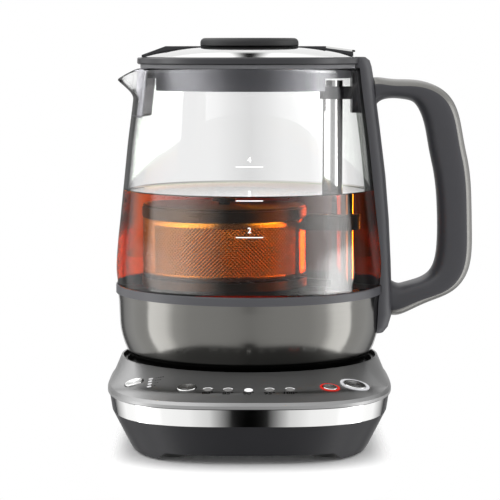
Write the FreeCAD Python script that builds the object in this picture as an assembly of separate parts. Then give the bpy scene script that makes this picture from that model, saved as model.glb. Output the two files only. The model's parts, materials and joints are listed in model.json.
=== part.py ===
# Automatic tea maker: a glass jug whose basket lifts itself along a post, on a powered round seat.
#
# Units are millimetres. The origin is on the table, under the axis of the jug.
# +Z is up, the controls face -Y, the handle is on +X and the spout on -X.
import FreeCAD, Part
import math
import os

V = FreeCAD.Vector

EDGE_MATCH = 0.001              # how near an edge lies to the size or height that it is picked by
FULL_TURN = 360.0

# ---------------------------------------------------------------- base, driving dimensions
DECK_SIDE = 5.4                 # width of the deck beside the seat
DECK_BACK = 6.4                 # and behind it
DECK_FRONT = 40.4               # and in front of it, where the controls are
BASE_SQUARENESS = 3.2           # exponent of the superellipse that the base is drawn with
OUTLINE_POINTS = 40             # points that the base outlines are interpolated through

HOUSING_BOTTOM_Z = 1.0          # lower edge of the corner feet of the housing
HOUSING_BOTTOM_INSET = 12.6     # how far the housing has drawn in at its lower edge
HOUSING_CORNER_Z = 4.0          # height where the steep lower edge meets the long slope
HOUSING_CORNER_INSET = 10.9
HOUSING_WALL = 2.5
ARCH_INSET = 33.0               # from the side of the base to the cut-out between the corner feet
ARCH_HEIGHT = 4.0
ARCH_SLOPE = 4.0                # run of the slanted ends of the cut-out
ARCH_ROUND = 3.0

PLATE_Z = 5.6                   # underside of the bottom plate
PLATE_THICKNESS = 2.0
PLATE_CLEARANCE = 0.3
FOOT_RADIUS = 8.0
FOOT_INSET_X = 37.0             # from the side of the base
FOOT_INSET_Y = 41.0             # from its front and its back

BAND_Z = 21.5                   # lower edge of the polished band
BAND_HEIGHT = 9.0
BAND_THICKNESS = 1.5
BAND_BOTTOM_INSET = 2.3
BAND_TOP_INSET = 0.8
BAND_REACH = 39.0               # how far the band reaches back from the front
BAND_GAP = 0.5                  # shadow line between the band and the deck

DECK_RIM_HEIGHT = 1.6
DECK_SHOULDER_HEIGHT = 1.6
DECK_SHOULDER_INSET = 1.4
DECK_RISE = 9.4                 # from the shoulder to the edge of the seat
DECK_THICKNESS = 2.2
DECK_LIP = 1.0                  # flat ring round the seat

SEAT_MARGIN = 6.7               # between the heel of the jug and the edge of the seat
SEAT_DEPTH = 5.6
SEAT_WALL = 2.0
SEAT_CLEARANCE = 0.2
BOSS_RADIUS = 5.0
BOSS_CIRCLE = 44.0              # radius of the circle of screw bosses under the seat
BOSS_SPLIT_Z = 20.0             # where the bosses of the plate and of the seat meet
SCREW_RADIUS = 1.6
SCREW_HEAD_RADIUS = 3.0
SCREW_HEAD_HEIGHT = 1.8
SCREW_CLEARANCE = 0.15

# ---------------------------------------------------------------- powered connector
SOCKET_RADIUS = 15.0
SOCKET_FLANGE_RADIUS = 22.0
SOCKET_FLANGE_THICKNESS = 2.8
SOCKET_STUB = 10.0              # length of the socket below its flange
SOCKET_RISE = 5.5               # how far the socket stands above the floor of the seat
GROOVE_INNER_RADIUS = 6.0
GROOVE_OUTER_RADIUS = 10.0
GROOVE_DEPTH = 9.0
CONTACT_THICKNESS = 0.5
CONNECTOR_PLAY = 0.4            # between the socket and the connector of the jug
CONNECTOR_WALL = 3.6
CONNECTOR_TOP = 2.5
CONNECTOR_FLANGE = 3.5
CONNECTOR_FLANGE_THICKNESS = 2.0
SWIVEL_PLAY = 0.35              # between the connector and the cover it turns in
SWIVEL_SEAT_GAP = 0.3

# ---------------------------------------------------------------- controls on the deck
BOARD_Z = 24.4                  # underside of the circuit board
BOARD_THICKNESS = 1.6
BOARD_INSET = 13.0              # from the side of the base
BOARD_REACH = 49.0              # how far the board reaches back from the front
BOARD_EDGE = 7.0                # between the board and the outline of the base
BOARD_POST_RADIUS = 3.0
BOARD_POST_X = 30.0
BOARD_POST_INSET = 29.0         # from the front of the base
BUTTON_PROUD = 0.7
BUTTON_ROUND = 0.35
BUTTON_DISH = 0.45              # depth of the hollow in its face
BUTTON_FLANGE_DEPTH = 4.2
BUTTON_FLANGE_HEIGHT = 0.9
BUTTON_FLANGE_EXTRA = 0.9
BUTTON_STEM_RADIUS = 1.8
BUTTON_STEM_DEPTH = 8.0
BUTTON_TRAVEL = 0.7
BUTTON_CLEARANCE = 0.3
SWITCH_RADIUS = 3.0
SWITCH_GAP = 0.2                # left between a stem and its switch when the button is pressed
LED_PROUD = 0.1
LED_LENGTH = 6.0
LED_CLEARANCE = 0.1
RING_PROUD = 0.35
RING_DEPTH = 1.4

# Each control is placed by its bearing on the deck, in degrees round the jug's axis, and by
# its way from the shoulder (0) to the seat (1).
STRENGTH_BUTTON = (-136.1, 0.40)
TEMPERATURE_BUTTON = (-112.3, 0.45)
CANCEL_BUTTON = (-61.3, 0.42)
START_BUTTON = (-50.3, 0.40)
SMALL_BUTTON_RADIUS = 5.1
CANCEL_BUTTON_RADIUS = 3.9
CANCEL_RING_RADIUS = 5.3
START_BUTTON_RADIUS = 6.0
START_RING_RADIUS = 7.9
TEMPERATURE_LED_RADIUS = 2.2
TEMPERATURE_LED_BEARINGS = (-104.6, -97.5, -90.3, -82.9, -75.8)
TEMPERATURE_LED_FRACTION = 0.42
STRENGTH_LED_RADIUS = 1.2
STRENGTH_LEDS = ((-129.9, 0.61), (-128.9, 0.535), (-127.8, 0.46), (-126.8, 0.38))

# ---------------------------------------------------------------- cord gland, back of the base
GLAND_Z = 16.6
GLAND_BORE_RADIUS = 3.5
GLAND_RADIUS = 6.0
GLAND_FLANGE_RADIUS = 8.5
GLAND_FLANGE_THICKNESS = 2.0
GLAND_NOSE = 4.0                # how far it stands out of the back wall
GLAND_REACH = 4.8               # how far it reaches into the housing
GLAND_CLEARANCE = 0.1

# ---------------------------------------------------------------- jug, driving dimensions
DOCK_GAP = 0.2                  # between the jug and the floor of the seat
SHELL_BOTTOM = 2.0              # lower edge of the steel shell, above the underside of the jug
SHELL_HEIGHT = 38.8
SHELL_WALL = 1.2
JUG_RADIUS = 73.6               # of the steel shell at its top
SHELL_HEEL = 9.7                # how much narrower the shell is at its foot
# Rounded heel of the shell: (share of its height, share of the way to its full radius)
SHELL_CURVE = ((0.0, 0.0), (0.04, 0.09), (0.13, 0.36), (0.30, 0.67), (0.47, 0.84), (0.64, 0.90), (1.0, 1.0))
COVER_THICKNESS = 2.5
COVER_CHAMFER = 5.6
COVER_EDGE_HEIGHT = 1.2
COVER_LEDGE = 0.3               # the shell stands on this much less than the cover's edge
COVER_BOSS_WALL = 3.6
FLOOR_DROP = 2.8                # from the top of the shell down to the floor plate's underside
FLOOR_THICKNESS = 1.0
FLOOR_CLEARANCE = 0.6
SEAL_WIDTH = 2.4
COLLAR_STEP = 0.9               # the collar is this much wider than the shell
COLLAR_HEIGHT = 4.7
COLLAR_LEDGE = 1.0
COLLAR_ROUND = 0.6
COLLAR_CLEARANCE = 0.2

GLASS_WALL = 2.6
GLASS_FOOT_STEP = 0.4           # the foot of the glass is this much narrower than the shell
# Outer profile of the glass: (height above its foot, change of radius)
GLASS_PROFILE = ((0.0, 0.0), (4.0, 0.3), (12.3, 1.0), (26.0, 0.2), (39.1, -1.2), (66.0, -4.0), (83.0, -5.8),
                 (100.0, -8.0), (123.0, -10.7))
SPOUT_REACH = 12.6
SPOUT_BEARING = 180.0           # degrees round from the handle
SPOUT_DEPTH = 17.0              # height of the glass that has the spout in it
SPOUT_RISE = 15.0               # of which the spout takes this to come out to its full reach
SPOUT_SECTIONS = 8              # sections of the glass above the one where the spout begins
SPOUT_HALF_ANGLE = 22.0
SPOUT_MARGIN_ANGLE = 5.5        # each side of the spout where the points of a section stay close together
SPOUT_POINTS = 12               # points of a section across the spout
ROUND_POINTS = 14               # points of a section round the rest of the glass
SPOUT_CUT_INSET = 0.3           # inside the mouth, where the rim begins to slope down to the tip
SPOUT_CUT_DROP = 5.6
SPOUT_CUT_RUN = 12.4

STRAINER_HALF_ANGLE = 24.0
STRAINER_HEIGHT = 26.0
STRAINER_THICKNESS = 1.0
STRAINER_GAP = 0.4

# ---------------------------------------------------------------- lift: post, screw and magnets
POST_INSET = 27.0               # from the foot of the glass to the axis of the post
POST_RADIUS = 5.7
POST_WALL = 1.0
POST_TOP_GAP = 6.6              # from the top of the glass down to the top of the post
POST_STUB = 6.0                 # length of the post below the floor plate
POST_FOOT_RADIUS = 8.6
POST_FOOT_HEIGHT = 3.4
POST_CLEARANCE = 0.1
MOTOR_RADIUS = 10.5
MOTOR_HEIGHT = 21.0
SCREW_ROD_RADIUS = 2.0
SCREW_ROD_TOP_GAP = 4.0
SCREW_ROD_BOTTOM_GAP = 0.3
NUT_CLEARANCE = 0.35
NUT_HEIGHT = 8.0
BRACKET_DROP = 10.4             # from the top of the post to the underside of its holder
BRACKET_HEIGHT = 7.0
BRACKET_WALL = 1.5
BRACKET_ARM_HALF_WIDTH = 4.0
STRAP_HALF_WIDTH = 6.0
STRAP_DEPTH = 5.8               # from the outside of the mouth to the strap's inner face
STRAP_HEIGHT = 24.5
STRAP_HOOK = 1.9
STRAP_OVERHANG = 0.9            # how far the hook stands out of the mouth
STRAP_GAP = 0.15

# ---------------------------------------------------------------- basket
BASKET_X = -12.5
BASKET_RADIUS = 41.0
BASKET_BOTTOM = 3.5             # above the foot of the glass
BASKET_RING_HEIGHT = 4.3
BASKET_RING_THICKNESS = 1.6
BASKET_MESH_HEIGHT = 32.7
BASKET_MESH_THICKNESS = 0.6
BASKET_MESH_INSET = 0.4
BASKET_RIM_HEIGHT = 5.4
BASKET_FLOOR_THICKNESS = 1.0
BASKET_FLOOR_CLEARANCE = 0.1
SADDLE_CLEARANCE = 0.35         # between the saddle and the post
SADDLE_WALL = 3.0
SADDLE_HEIGHT = 8.4
SADDLE_TOP_DROP = 4.5           # below the top of the basket's rim
SADDLE_ARM_HALF_WIDTH = 5.5
MAGNET_WALL = 1.2
MAGNET_HEIGHT = 6.0
MAGNET_INSET = 0.8
BASKET_LID_OVERLAP = 0.6
BASKET_LID_THICKNESS = 1.0
BASKET_LID_SKIRT = 2.0
BASKET_LID_GAP = 0.3
BASKET_KNOB_RADIUS = 6.0
BASKET_KNOB_HEIGHT = 4.4
BASKET_KNOB_NECK = 3.0
BASKET_KNOB_HEAD = 2.4
BASKET_KNOB_ROUND = 1.2

# ---------------------------------------------------------------- heater under the floor
HEATER_X = -8.0
HEATER_PLATE_RADIUS = 34.0
HEATER_PLATE_THICKNESS = 2.5
HEATER_TUBE_RADIUS = 3.3
HEATER_RING_RADIUS = 25.0
HEATER_SWEEP = 300.0
HEATER_PIN_RADIUS = 1.6
HEATER_PIN_LENGTH = 9.0
SENSOR_X = 22.0
SENSOR_Y = -34.0
SENSOR_RADIUS = 2.5
SENSOR_FLANGE = 1.5
SENSOR_TIP = 3.5
SENSOR_TAIL = 5.0

# ---------------------------------------------------------------- handle
SPINE_HALF_WIDTH = 17.4
SPINE_CORNER = 8.0
SPINE_GAP = 0.3
HEAD_REACH = 6.5                # how far the head of the spine reaches in over the mouth
# Sections of the spine: (height above the foot of the glass, outer face beyond the jug's radius)
SPINE_SECTIONS = ((-23.1, 0.8), (-20.0, 3.4), (-13.4, 5.3), (0.0, 5.3), (16.0, 4.8), (40.0, 3.6),
                  (64.0, 1.6), (92.0, -1.9), (118.0, -5.4), (124.0, -6.4), (127.4, -7.5), (129.3, -10.0))
SPINE_CORNER_SHARE = 0.8        # of the spine's depth, where that is too thin for the whole corner
GRIP_HALF_WIDTH = 11.5
GRIP_SQUARENESS = 2.8
GRIP_POINTS = 20
GRIP_SKIN = 3.6                 # thickness of the outer shell of the grip
# Sections of the grip: outer x and z, inner x and z; x beyond the jug's radius, z above the foot
# of the glass
GRIP_SECTIONS = ((-5.0, 118.0, -3.6, 102.4), (1.4, 117.7, 1.4, 106.0), (10.4, 117.0, 10.0, 106.2),
                 (21.4, 116.2, 16.0, 105.0), (31.0, 112.8, 19.8, 101.6), (38.4, 106.3, 22.8, 95.0),
                 (43.8, 92.0, 25.3, 84.0), (47.8, 72.0, 28.4, 68.5), (50.0, 50.0, 30.8, 50.0),
                 (50.5, 30.0, 31.3, 31.0), (48.8, 11.8, 29.3, 14.5), (43.4, 2.2, 25.0, 8.3),
                 (34.8, -3.7, 19.0, 5.4), (24.1, -8.0, 13.4, 3.8), (3.4, -13.6, 3.4, 6.5))
# Screws of the handle: (height above the foot of the glass, length)
HANDLE_SCREWS = ((-16.0, 5.5), (-7.0, 9.0))
HANDLE_SCREW_GAP = 0.5          # between a screw's head and the inside of the shell
HANDLE_SCREW_RADIUS = 1.9
HANDLE_HEAD_RADIUS = 3.0
HANDLE_HEAD_HEIGHT = 2.2

# ---------------------------------------------------------------- lid
LID_GAP = 0.3                   # between the seal and the rim of the glass
LID_SEAL_HEIGHT = 2.0
# Radii of the lid's pieces, all as insets from the outside of the mouth of the glass
LID_SEAL_INSET = 2.1
LID_NECK_INSET = 5.5
LID_NECK_DROP = 5.6             # of the upper skirt, below the seal
LID_SKIRT_INSET = 7.0
LID_SKIRT_DROP = 6.7            # of the lower skirt, below the upper one
LID_SKIRT_WALL = 2.5
LID_CEILING = 2.2               # thickness of the plug's top plate
LID_FLANGE_INSET = 4.0
LID_FLANGE_THICKNESS = 1.7
LID_RIM_INSET = 0.3
LID_RIM_HEIGHT = 3.7
LID_RIM_LEDGE = 3.0             # how far the rim reaches in over the plug's flange
LID_RIM_ROUND = 0.6
LID_CLEARANCE = 0.1
WINDOW_PLAY = 0.5               # between the post and the lower skirt, which stops short of it
POUR_DEPTH = 5.5                # depth of the opening in the lower skirt that lets the tea out
NECK_NOTCH_DEPTH = 4.7          # of the notch for the strap, inside the strap
NECK_NOTCH_PLAY = 1.0
HEAD_NOTCH_PLAY = 0.5           # between the lid and the head of the handle
CAP_INSET = 2.5                 # from the outside of the mouth
CAP_WALL = 1.0
CAP_EDGE_HEIGHT = 1.6
CAP_RISE = 6.0
# Dome above the edge of the cap: (share of its radius, share of its rise)
CAP_CURVE = ((0.988, 0.383), (0.938, 0.6), (0.827, 0.833), (0.6, 0.983), (0.3, 1.0))
BAR_HALF_WIDTH = 11.0
BAR_HEIGHT = 6.2
BAR_CLEARANCE = 0.15
BAR_SPOUT_INSET = 3.0           # from the lid's rim to the end of the bar
BAR_SPOUT_STEP = 1.4
BAR_SPOUT_SLOPE = 13.2
BAR_OVERHANG = 1.0              # how far the bar's other end reaches over the head of the handle
BAR_HANDLE_UNDERCUT = 0.7
TAB_LENGTH = 16.2
TAB_OVERHANG = 2.2              # how far the tab reaches over the head of the handle
TAB_DROP = 2.2
TAB_THICKNESS = 1.0
TAB_HALF_WIDTH = 7.0
TAB_TIP = 1.6
KNOB_RADIUS = 27.2
KNOB_HEIGHT = 4.5
KNOB_ROUND = 2.6
KNOB_FOOT_ROUND = 0.6
LID_SCREW_X = 16.0
LID_SCREW_DEPTH = 5.0

# ---------------------------------------------------------------- what follows from these
shell_lower_radius = JUG_RADIUS - SHELL_HEEL
collar_radius = JUG_RADIUS + COLLAR_STEP
glass_foot_radius = JUG_RADIUS - GLASS_FOOT_STEP
mouth_radius = glass_foot_radius + GLASS_PROFILE[-1][1]
seat_radius = shell_lower_radius + SEAT_MARGIN
seat_lip_radius = seat_radius + DECK_LIP
base_half_width = seat_lip_radius + DECK_SIDE
base_half_depth = seat_lip_radius + (DECK_FRONT + DECK_BACK) / 2
base_centre_y = (DECK_BACK - DECK_FRONT) / 2
base_front_y = base_centre_y - base_half_depth
post_x = glass_foot_radius - POST_INSET
strap_x = mouth_radius - STRAP_DEPTH
strap_reach = mouth_radius + STRAP_OVERHANG
spine_inner_x = mouth_radius - HEAD_REACH
spout_cut_x = mouth_radius - SPOUT_CUT_INSET
lid_rim_radius = mouth_radius - LID_RIM_INSET
lid_neck_radius = mouth_radius - LID_NECK_INSET
lid_skirt_radius = mouth_radius - LID_SKIRT_INSET
lid_flange_radius = mouth_radius - LID_FLANGE_INSET
cap_radius = mouth_radius - CAP_INSET
tab_end = spine_inner_x + TAB_OVERHANG
tab_start = tab_end - TAB_LENGTH

band_top = BAND_Z + BAND_HEIGHT
deck_z = band_top + BAND_GAP
shoulder_z = deck_z + DECK_RIM_HEIGHT + DECK_SHOULDER_HEIGHT
seat_edge_z = shoulder_z + DECK_RISE
seat_z = seat_edge_z - SEAT_DEPTH
jug_z = seat_z + DOCK_GAP
shell_z = jug_z + SHELL_BOTTOM
shell_top = shell_z + SHELL_HEIGHT
floor_z = shell_top - FLOOR_DROP
floor_top = floor_z + FLOOR_THICKNESS
glass_z = shell_top + COLLAR_LEDGE
glass_top = glass_z + GLASS_PROFILE[-1][0]
post_top = glass_top - POST_TOP_GAP
spout_z = glass_top - SPOUT_DEPTH
motor_top = floor_z - POST_STUB
basket_z = glass_z + BASKET_BOTTOM
mesh_z = basket_z + BASKET_RING_HEIGHT
rim_z = mesh_z + BASKET_MESH_HEIGHT
basket_top = rim_z + BASKET_RIM_HEIGHT
saddle_top = basket_top - SADDLE_TOP_DROP
seal_z = glass_top + LID_GAP
plug_z = seal_z + LID_SEAL_HEIGHT
cap_z = plug_z + LID_RIM_HEIGHT
bar_top = cap_z + BAR_HEIGHT


# ---------------------------------------------------------------- shapes
def turned(profile, x=0.0, y=0.0, start=0.0, sweep=FULL_TURN):
    """A solid turned about a vertical axis at x, y from a closed profile of (radius, height)."""
    corners = [V(x + r, y, z) for r, z in profile]
    face = Part.Face(Part.makePolygon(corners + corners[:1]))
    face.rotate(V(x, y, 0), V(0, 0, 1), start)
    return face.revolve(V(x, y, 0), V(0, 0, 1), sweep)


def ring(outer, inner, low, high, x=0.0, y=0.0):
    """A plain ring about a vertical axis at x, y."""
    return turned(((inner, low), (outer, low), (outer, high), (inner, high)), x, y)


def disc(radius, low, high, x=0.0, y=0.0):
    """An upright cylinder."""
    return Part.makeCylinder(radius, high - low, V(x, y, low))


def block(x_range, y_range, z_range):
    """A box between two limits on each axis."""
    size = [high - low for low, high in (x_range, y_range, z_range)]
    return Part.makeBox(size[0], size[1], size[2], V(x_range[0], y_range[0], z_range[0]))


def prism(outline_xz, half_width):
    """A plate cut to an outline in the XZ plane, half_width to each side of it."""
    corners = [V(x, -half_width, z) for x, z in outline_xz]
    face = Part.Face(Part.makePolygon(corners + corners[:1]))
    return face.extrude(V(0, 2 * half_width, 0))


def joined(shapes):
    """Several touching shapes as one solid."""
    result = shapes[0]
    for shape in shapes[1:]:
        result = result.fuse(shape)
    return result.removeSplitter()


def without(shape, tools):
    """The shape with every tool cut out of it."""
    for tool in tools:
        shape = shape.cut(tool)
    return shape


def round_edges(shape, radius, height):
    """The shape's circular edges of a radius at a height."""
    return [edge for edge in shape.Edges if isinstance(edge.Curve, Part.Circle)
            and abs(edge.Curve.Radius - radius) < EDGE_MATCH and abs(edge.Curve.Center.z - height) < EDGE_MATCH]


def closed_spline(points):
    """A smooth closed wire through evenly numbered points."""
    curve = Part.BSplineCurve()
    curve.interpolate(Points=points, PeriodicFlag=True, Parameters=list(range(len(points) + 1)))
    return Part.Wire(curve.toShape())


def base_point(angle, inset):
    """Where the base outline, drawn in by inset, lies at an angle in radians: (x, y)."""
    c = math.cos(angle)
    s = math.sin(angle)
    across = abs(c / (base_half_width - inset)) ** BASE_SQUARENESS
    along = abs(s / (base_half_depth - inset)) ** BASE_SQUARENESS
    radius = (across + along) ** (-1.0 / BASE_SQUARENESS)
    return radius * c, base_centre_y + radius * s


def base_outline(inset, z):
    """The closed outline of the base at height z, drawn in by inset."""
    angles = [2 * math.pi * i / OUTLINE_POINTS for i in range(OUTLINE_POINTS)]
    return closed_spline([V(*base_point(angle, inset), z) for angle in angles])


def round_outline(radius, z):
    """A circle about the jug's axis, drawn point for point like the base outline."""
    angles = [2 * math.pi * i / OUTLINE_POINTS for i in range(OUTLINE_POINTS)]
    return closed_spline([V(radius * math.cos(a), radius * math.sin(a), z) for a in angles])


def ruled(wires):
    """A solid with straight walls between closed outlines."""
    return Part.makeLoft(wires, True, True)


def smooth(wires):
    """A solid with smooth walls through closed outlines."""
    return Part.makeLoft(wires, True, False)


# ---------------------------------------------------------------- base
def housing_stack(offset, low, high):
    """The housing's outer form, drawn in by a further offset, between its foot and its top."""
    return ruled([
        base_outline(HOUSING_BOTTOM_INSET + offset, low),
        base_outline(HOUSING_CORNER_INSET + offset, HOUSING_CORNER_Z),
        base_outline(BAND_BOTTOM_INSET + offset, BAND_Z),
        base_outline(BAND_TOP_INSET + offset, high),
    ])


def band_zone(end_gap):
    """The recess that the polished band lies in, round the front of the housing."""
    ends = block((-base_half_width, base_half_width), (base_front_y, base_front_y + BAND_REACH - end_gap),
                 (BAND_Z, band_top))
    outer = ruled([base_outline(BAND_BOTTOM_INSET, BAND_Z), base_outline(BAND_TOP_INSET, deck_z)])
    inner = ruled([base_outline(BAND_BOTTOM_INSET + BAND_THICKNESS, BAND_Z),
                   base_outline(BAND_TOP_INSET + BAND_THICKNESS, deck_z)])
    return outer.cut(inner).common(ends)


def gland_wall_y():
    """Where the outside of the back wall lies at the height of the gland."""
    share = (GLAND_Z - HOUSING_CORNER_Z) / (BAND_Z - HOUSING_CORNER_Z)
    inset = HOUSING_CORNER_INSET + (BAND_BOTTOM_INSET - HOUSING_CORNER_INSET) * share
    return base_centre_y + base_half_depth - inset


def along_y(radius, start, end):
    """A cylinder along Y at the height of the gland."""
    return Part.makeCylinder(radius, end - start, V(0, start, GLAND_Z), V(0, 1, 0))


def make_base_housing():
    """Lower housing: a tapered wall with corner feet, open at the top and the bottom."""
    shell = housing_stack(0.0, HOUSING_BOTTOM_Z, deck_z)
    shell = shell.cut(housing_stack(HOUSING_WALL, HOUSING_BOTTOM_Z, deck_z))
    half = base_half_width - ARCH_INSET
    top = HOUSING_BOTTOM_Z + ARCH_HEIGHT
    foot = half + ARCH_SLOPE
    arch = prism([(-foot, HOUSING_BOTTOM_Z), (foot, HOUSING_BOTTOM_Z), (half, top), (-half, top)],
                 base_half_depth + abs(base_centre_y))
    corners = [edge for edge in arch.Edges if edge.BoundBox.ZMin > top - EDGE_MATCH
               and edge.BoundBox.XLength < EDGE_MATCH]
    arch = arch.makeFillet(ARCH_ROUND, corners)
    gland_hole = along_y(GLAND_RADIUS + GLAND_CLEARANCE, 0.0, base_half_depth)
    return without(shell, [arch, band_zone(0.0), gland_hole])


def make_base_trim_band():
    """Polished band round the front of the housing, under the deck."""
    return band_zone(2 * BAND_GAP)


def boss_places():
    """Centres of the screw bosses that hold the seat to the bottom plate."""
    return [(BOSS_CIRCLE * math.cos(a), BOSS_CIRCLE * math.sin(a))
            for a in (math.pi / 4 + math.pi / 2 * i for i in range(4))]


def foot_places():
    """Centres of the rubber feet."""
    foot_x = base_half_width - FOOT_INSET_X
    foot_y = base_half_depth - FOOT_INSET_Y
    return [(x, base_centre_y + y) for x in (-foot_x, foot_x) for y in (-foot_y, foot_y)]


def make_base_bottom_plate():
    """Bottom plate inside the housing, with its bosses and the posts of the circuit board."""
    top = PLATE_Z + PLATE_THICKNESS
    share = (PLATE_Z - HOUSING_CORNER_Z) / (BAND_Z - HOUSING_CORNER_Z)
    inset = HOUSING_CORNER_INSET + (BAND_BOTTOM_INSET - HOUSING_CORNER_INSET) * share
    inset = inset + HOUSING_WALL + PLATE_CLEARANCE
    pieces = [ruled([base_outline(inset, PLATE_Z), base_outline(inset, top)])]
    pieces += [disc(BOSS_RADIUS, PLATE_Z, BOSS_SPLIT_Z, x, y) for x, y in boss_places()]
    holes = [disc(SCREW_RADIUS + SCREW_CLEARANCE, PLATE_Z, BOSS_SPLIT_Z, x, y) for x, y in boss_places()]
    holes += [disc(SCREW_HEAD_RADIUS + SCREW_CLEARANCE, PLATE_Z, PLATE_Z + SCREW_HEAD_HEIGHT, x, y)
              for x, y in boss_places()]
    for x in (-BOARD_POST_X, BOARD_POST_X):
        pieces.append(disc(BOARD_POST_RADIUS, PLATE_Z, BOARD_Z, x, base_front_y + BOARD_POST_INSET))
    return without(joined(pieces), holes)


def make_rubber_feet():
    """Four rubber feet under the bottom plate."""
    return Part.makeCompound([disc(FOOT_RADIUS, 0.0, PLATE_Z, x, y) for x, y in foot_places()])


def make_base_screws():
    """Four screws through the bottom plate into the seat."""
    screws = []
    for x, y in boss_places():
        head = disc(SCREW_HEAD_RADIUS, PLATE_Z, PLATE_Z + SCREW_HEAD_HEIGHT, x, y)
        shank = disc(SCREW_RADIUS, PLATE_Z, (BOSS_SPLIT_Z + seat_z) / 2, x, y)
        screws.append(joined([head, shank]))
    return Part.makeCompound(screws)


def make_cord_gland():
    """Gland for the mains cord, in the back wall."""
    outside = gland_wall_y() + GLAND_NOSE
    inside = gland_wall_y() - HOUSING_WALL - GLAND_REACH
    bush = along_y(GLAND_RADIUS, inside, outside)
    flange = along_y(GLAND_FLANGE_RADIUS, inside - GLAND_FLANGE_THICKNESS, inside)
    bore = along_y(GLAND_BORE_RADIUS, inside - GLAND_FLANGE_THICKNESS, outside)
    return joined([bush, flange]).cut(bore)


# ---------------------------------------------------------------- deck and its controls
def deck_point(bearing, fraction):
    """A point on the sloping deck."""
    angle = math.radians(bearing)
    x, y = base_point(angle, DECK_SHOULDER_INSET)
    seat = seat_lip_radius
    return V(x + (seat * math.cos(angle) - x) * fraction,
             y + (seat * math.sin(angle) - y) * fraction,
             shoulder_z + DECK_RISE * fraction)


def deck_normal(bearing, fraction):
    """The outward normal of the deck at a point."""
    step = 0.01
    round_way = deck_point(bearing + step, fraction) - deck_point(bearing - step, fraction)
    up_way = deck_point(bearing, fraction + step) - deck_point(bearing, fraction - step)
    normal = round_way.cross(up_way).normalize()
    return normal if normal.z > 0 else -normal


def on_deck(place, radius, top, bottom):
    """A cylinder square to the deck, between two heights over its surface."""
    normal = deck_normal(*place)
    return Part.makeCylinder(radius, top - bottom, deck_point(*place) + normal * bottom, normal)


def make_control_board():
    """Circuit board under the front panel, cut round to the outline of the base."""
    top = BOARD_Z + BOARD_THICKNESS
    form = ruled([base_outline(BOARD_EDGE, BOARD_Z), base_outline(BOARD_EDGE, top)])
    half = base_half_width - BOARD_INSET
    front = block((-half, half), (base_front_y, base_front_y + BOARD_REACH), (BOARD_Z, top))
    return form.common(front)


def make_tact_switches():
    """Four switches that stand on the board, one under each button."""
    wide = 2 * base_half_depth
    below = block((-wide, wide), (-wide, wide), (0.0, BOARD_Z + BOARD_THICKNESS))
    top = -BUTTON_STEM_DEPTH - BUTTON_TRAVEL - SWITCH_GAP
    places = (STRENGTH_BUTTON, TEMPERATURE_BUTTON, CANCEL_BUTTON, START_BUTTON)
    return Part.makeCompound([on_deck(place, SWITCH_RADIUS, top, -BOARD_Z).cut(below) for place in places])


def button(place, radius):
    """A button: a dished cap with a rounded edge, the flange that holds it in and its stem."""
    normal = deck_normal(*place)
    cap = on_deck(place, radius, BUTTON_PROUD, -BUTTON_FLANGE_DEPTH)
    top = [edge for edge in cap.Edges if isinstance(edge.Curve, Part.Circle)
           and (edge.Curve.Center - deck_point(*place)).dot(normal) > 0]
    cap = cap.makeFillet(BUTTON_ROUND, top)
    reach = radius - BUTTON_ROUND
    ball = (reach * reach + BUTTON_DISH * BUTTON_DISH) / (2 * BUTTON_DISH)
    dish = Part.makeSphere(ball, deck_point(*place) + normal * (BUTTON_PROUD + ball - BUTTON_DISH))
    flange = on_deck(place, radius + BUTTON_FLANGE_EXTRA, -BUTTON_FLANGE_DEPTH,
                     -BUTTON_FLANGE_DEPTH - BUTTON_FLANGE_HEIGHT)
    stem = on_deck(place, BUTTON_STEM_RADIUS, -BUTTON_FLANGE_DEPTH, -BUTTON_STEM_DEPTH)
    return joined([cap.cut(dish), flange, stem])


def light_ring(place, outer, inner):
    """A ring let into the deck round a button."""
    hole = on_deck(place, inner, RING_PROUD, -RING_DEPTH)
    return on_deck(place, outer, RING_PROUD, -RING_DEPTH).cut(hole)


def leds(places, radius):
    """Lenses let into the deck."""
    return Part.makeCompound([on_deck(place, radius, LED_PROUD, LED_PROUD - LED_LENGTH) for place in places])


def temperature_led_places():
    """Places of the row of temperature lights."""
    return [(bearing, TEMPERATURE_LED_FRACTION) for bearing in TEMPERATURE_LED_BEARINGS]


def deck_form(inset, drop, low):
    """The deck's outer form, drawn in by inset and lowered by drop."""
    seat = seat_lip_radius
    return ruled([
        base_outline(inset, low),
        base_outline(inset, deck_z + DECK_RIM_HEIGHT - drop),
        base_outline(DECK_SHOULDER_INSET + inset, shoulder_z - drop),
        round_outline(seat, seat_edge_z - drop),
    ])


def make_base_deck():
    """Top cover of the base: rim, shoulder and sloping panel, open round the seat."""
    holes = [deck_form(HOUSING_WALL, DECK_THICKNESS, deck_z - 2 * DECK_THICKNESS),
             disc(seat_radius, PLATE_Z, seat_edge_z + DECK_RISE)]
    through = -2 * BUTTON_FLANGE_DEPTH
    for place, radius in ((STRENGTH_BUTTON, SMALL_BUTTON_RADIUS), (TEMPERATURE_BUTTON, SMALL_BUTTON_RADIUS),
                          (CANCEL_BUTTON, CANCEL_BUTTON_RADIUS), (START_BUTTON, START_BUTTON_RADIUS)):
        holes.append(on_deck(place, radius + BUTTON_CLEARANCE, DECK_RISE, through))
    holes.append(on_deck(CANCEL_BUTTON, CANCEL_RING_RADIUS, DECK_RISE, -RING_DEPTH))
    holes.append(on_deck(START_BUTTON, START_RING_RADIUS, DECK_RISE, -RING_DEPTH))
    holes += [on_deck(place, TEMPERATURE_LED_RADIUS + LED_CLEARANCE, DECK_RISE, through)
              for place in temperature_led_places()]
    holes += [on_deck(place, STRENGTH_LED_RADIUS + LED_CLEARANCE, DECK_RISE, through)
              for place in STRENGTH_LEDS]
    return without(deck_form(0.0, 0.0, deck_z), holes)


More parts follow.
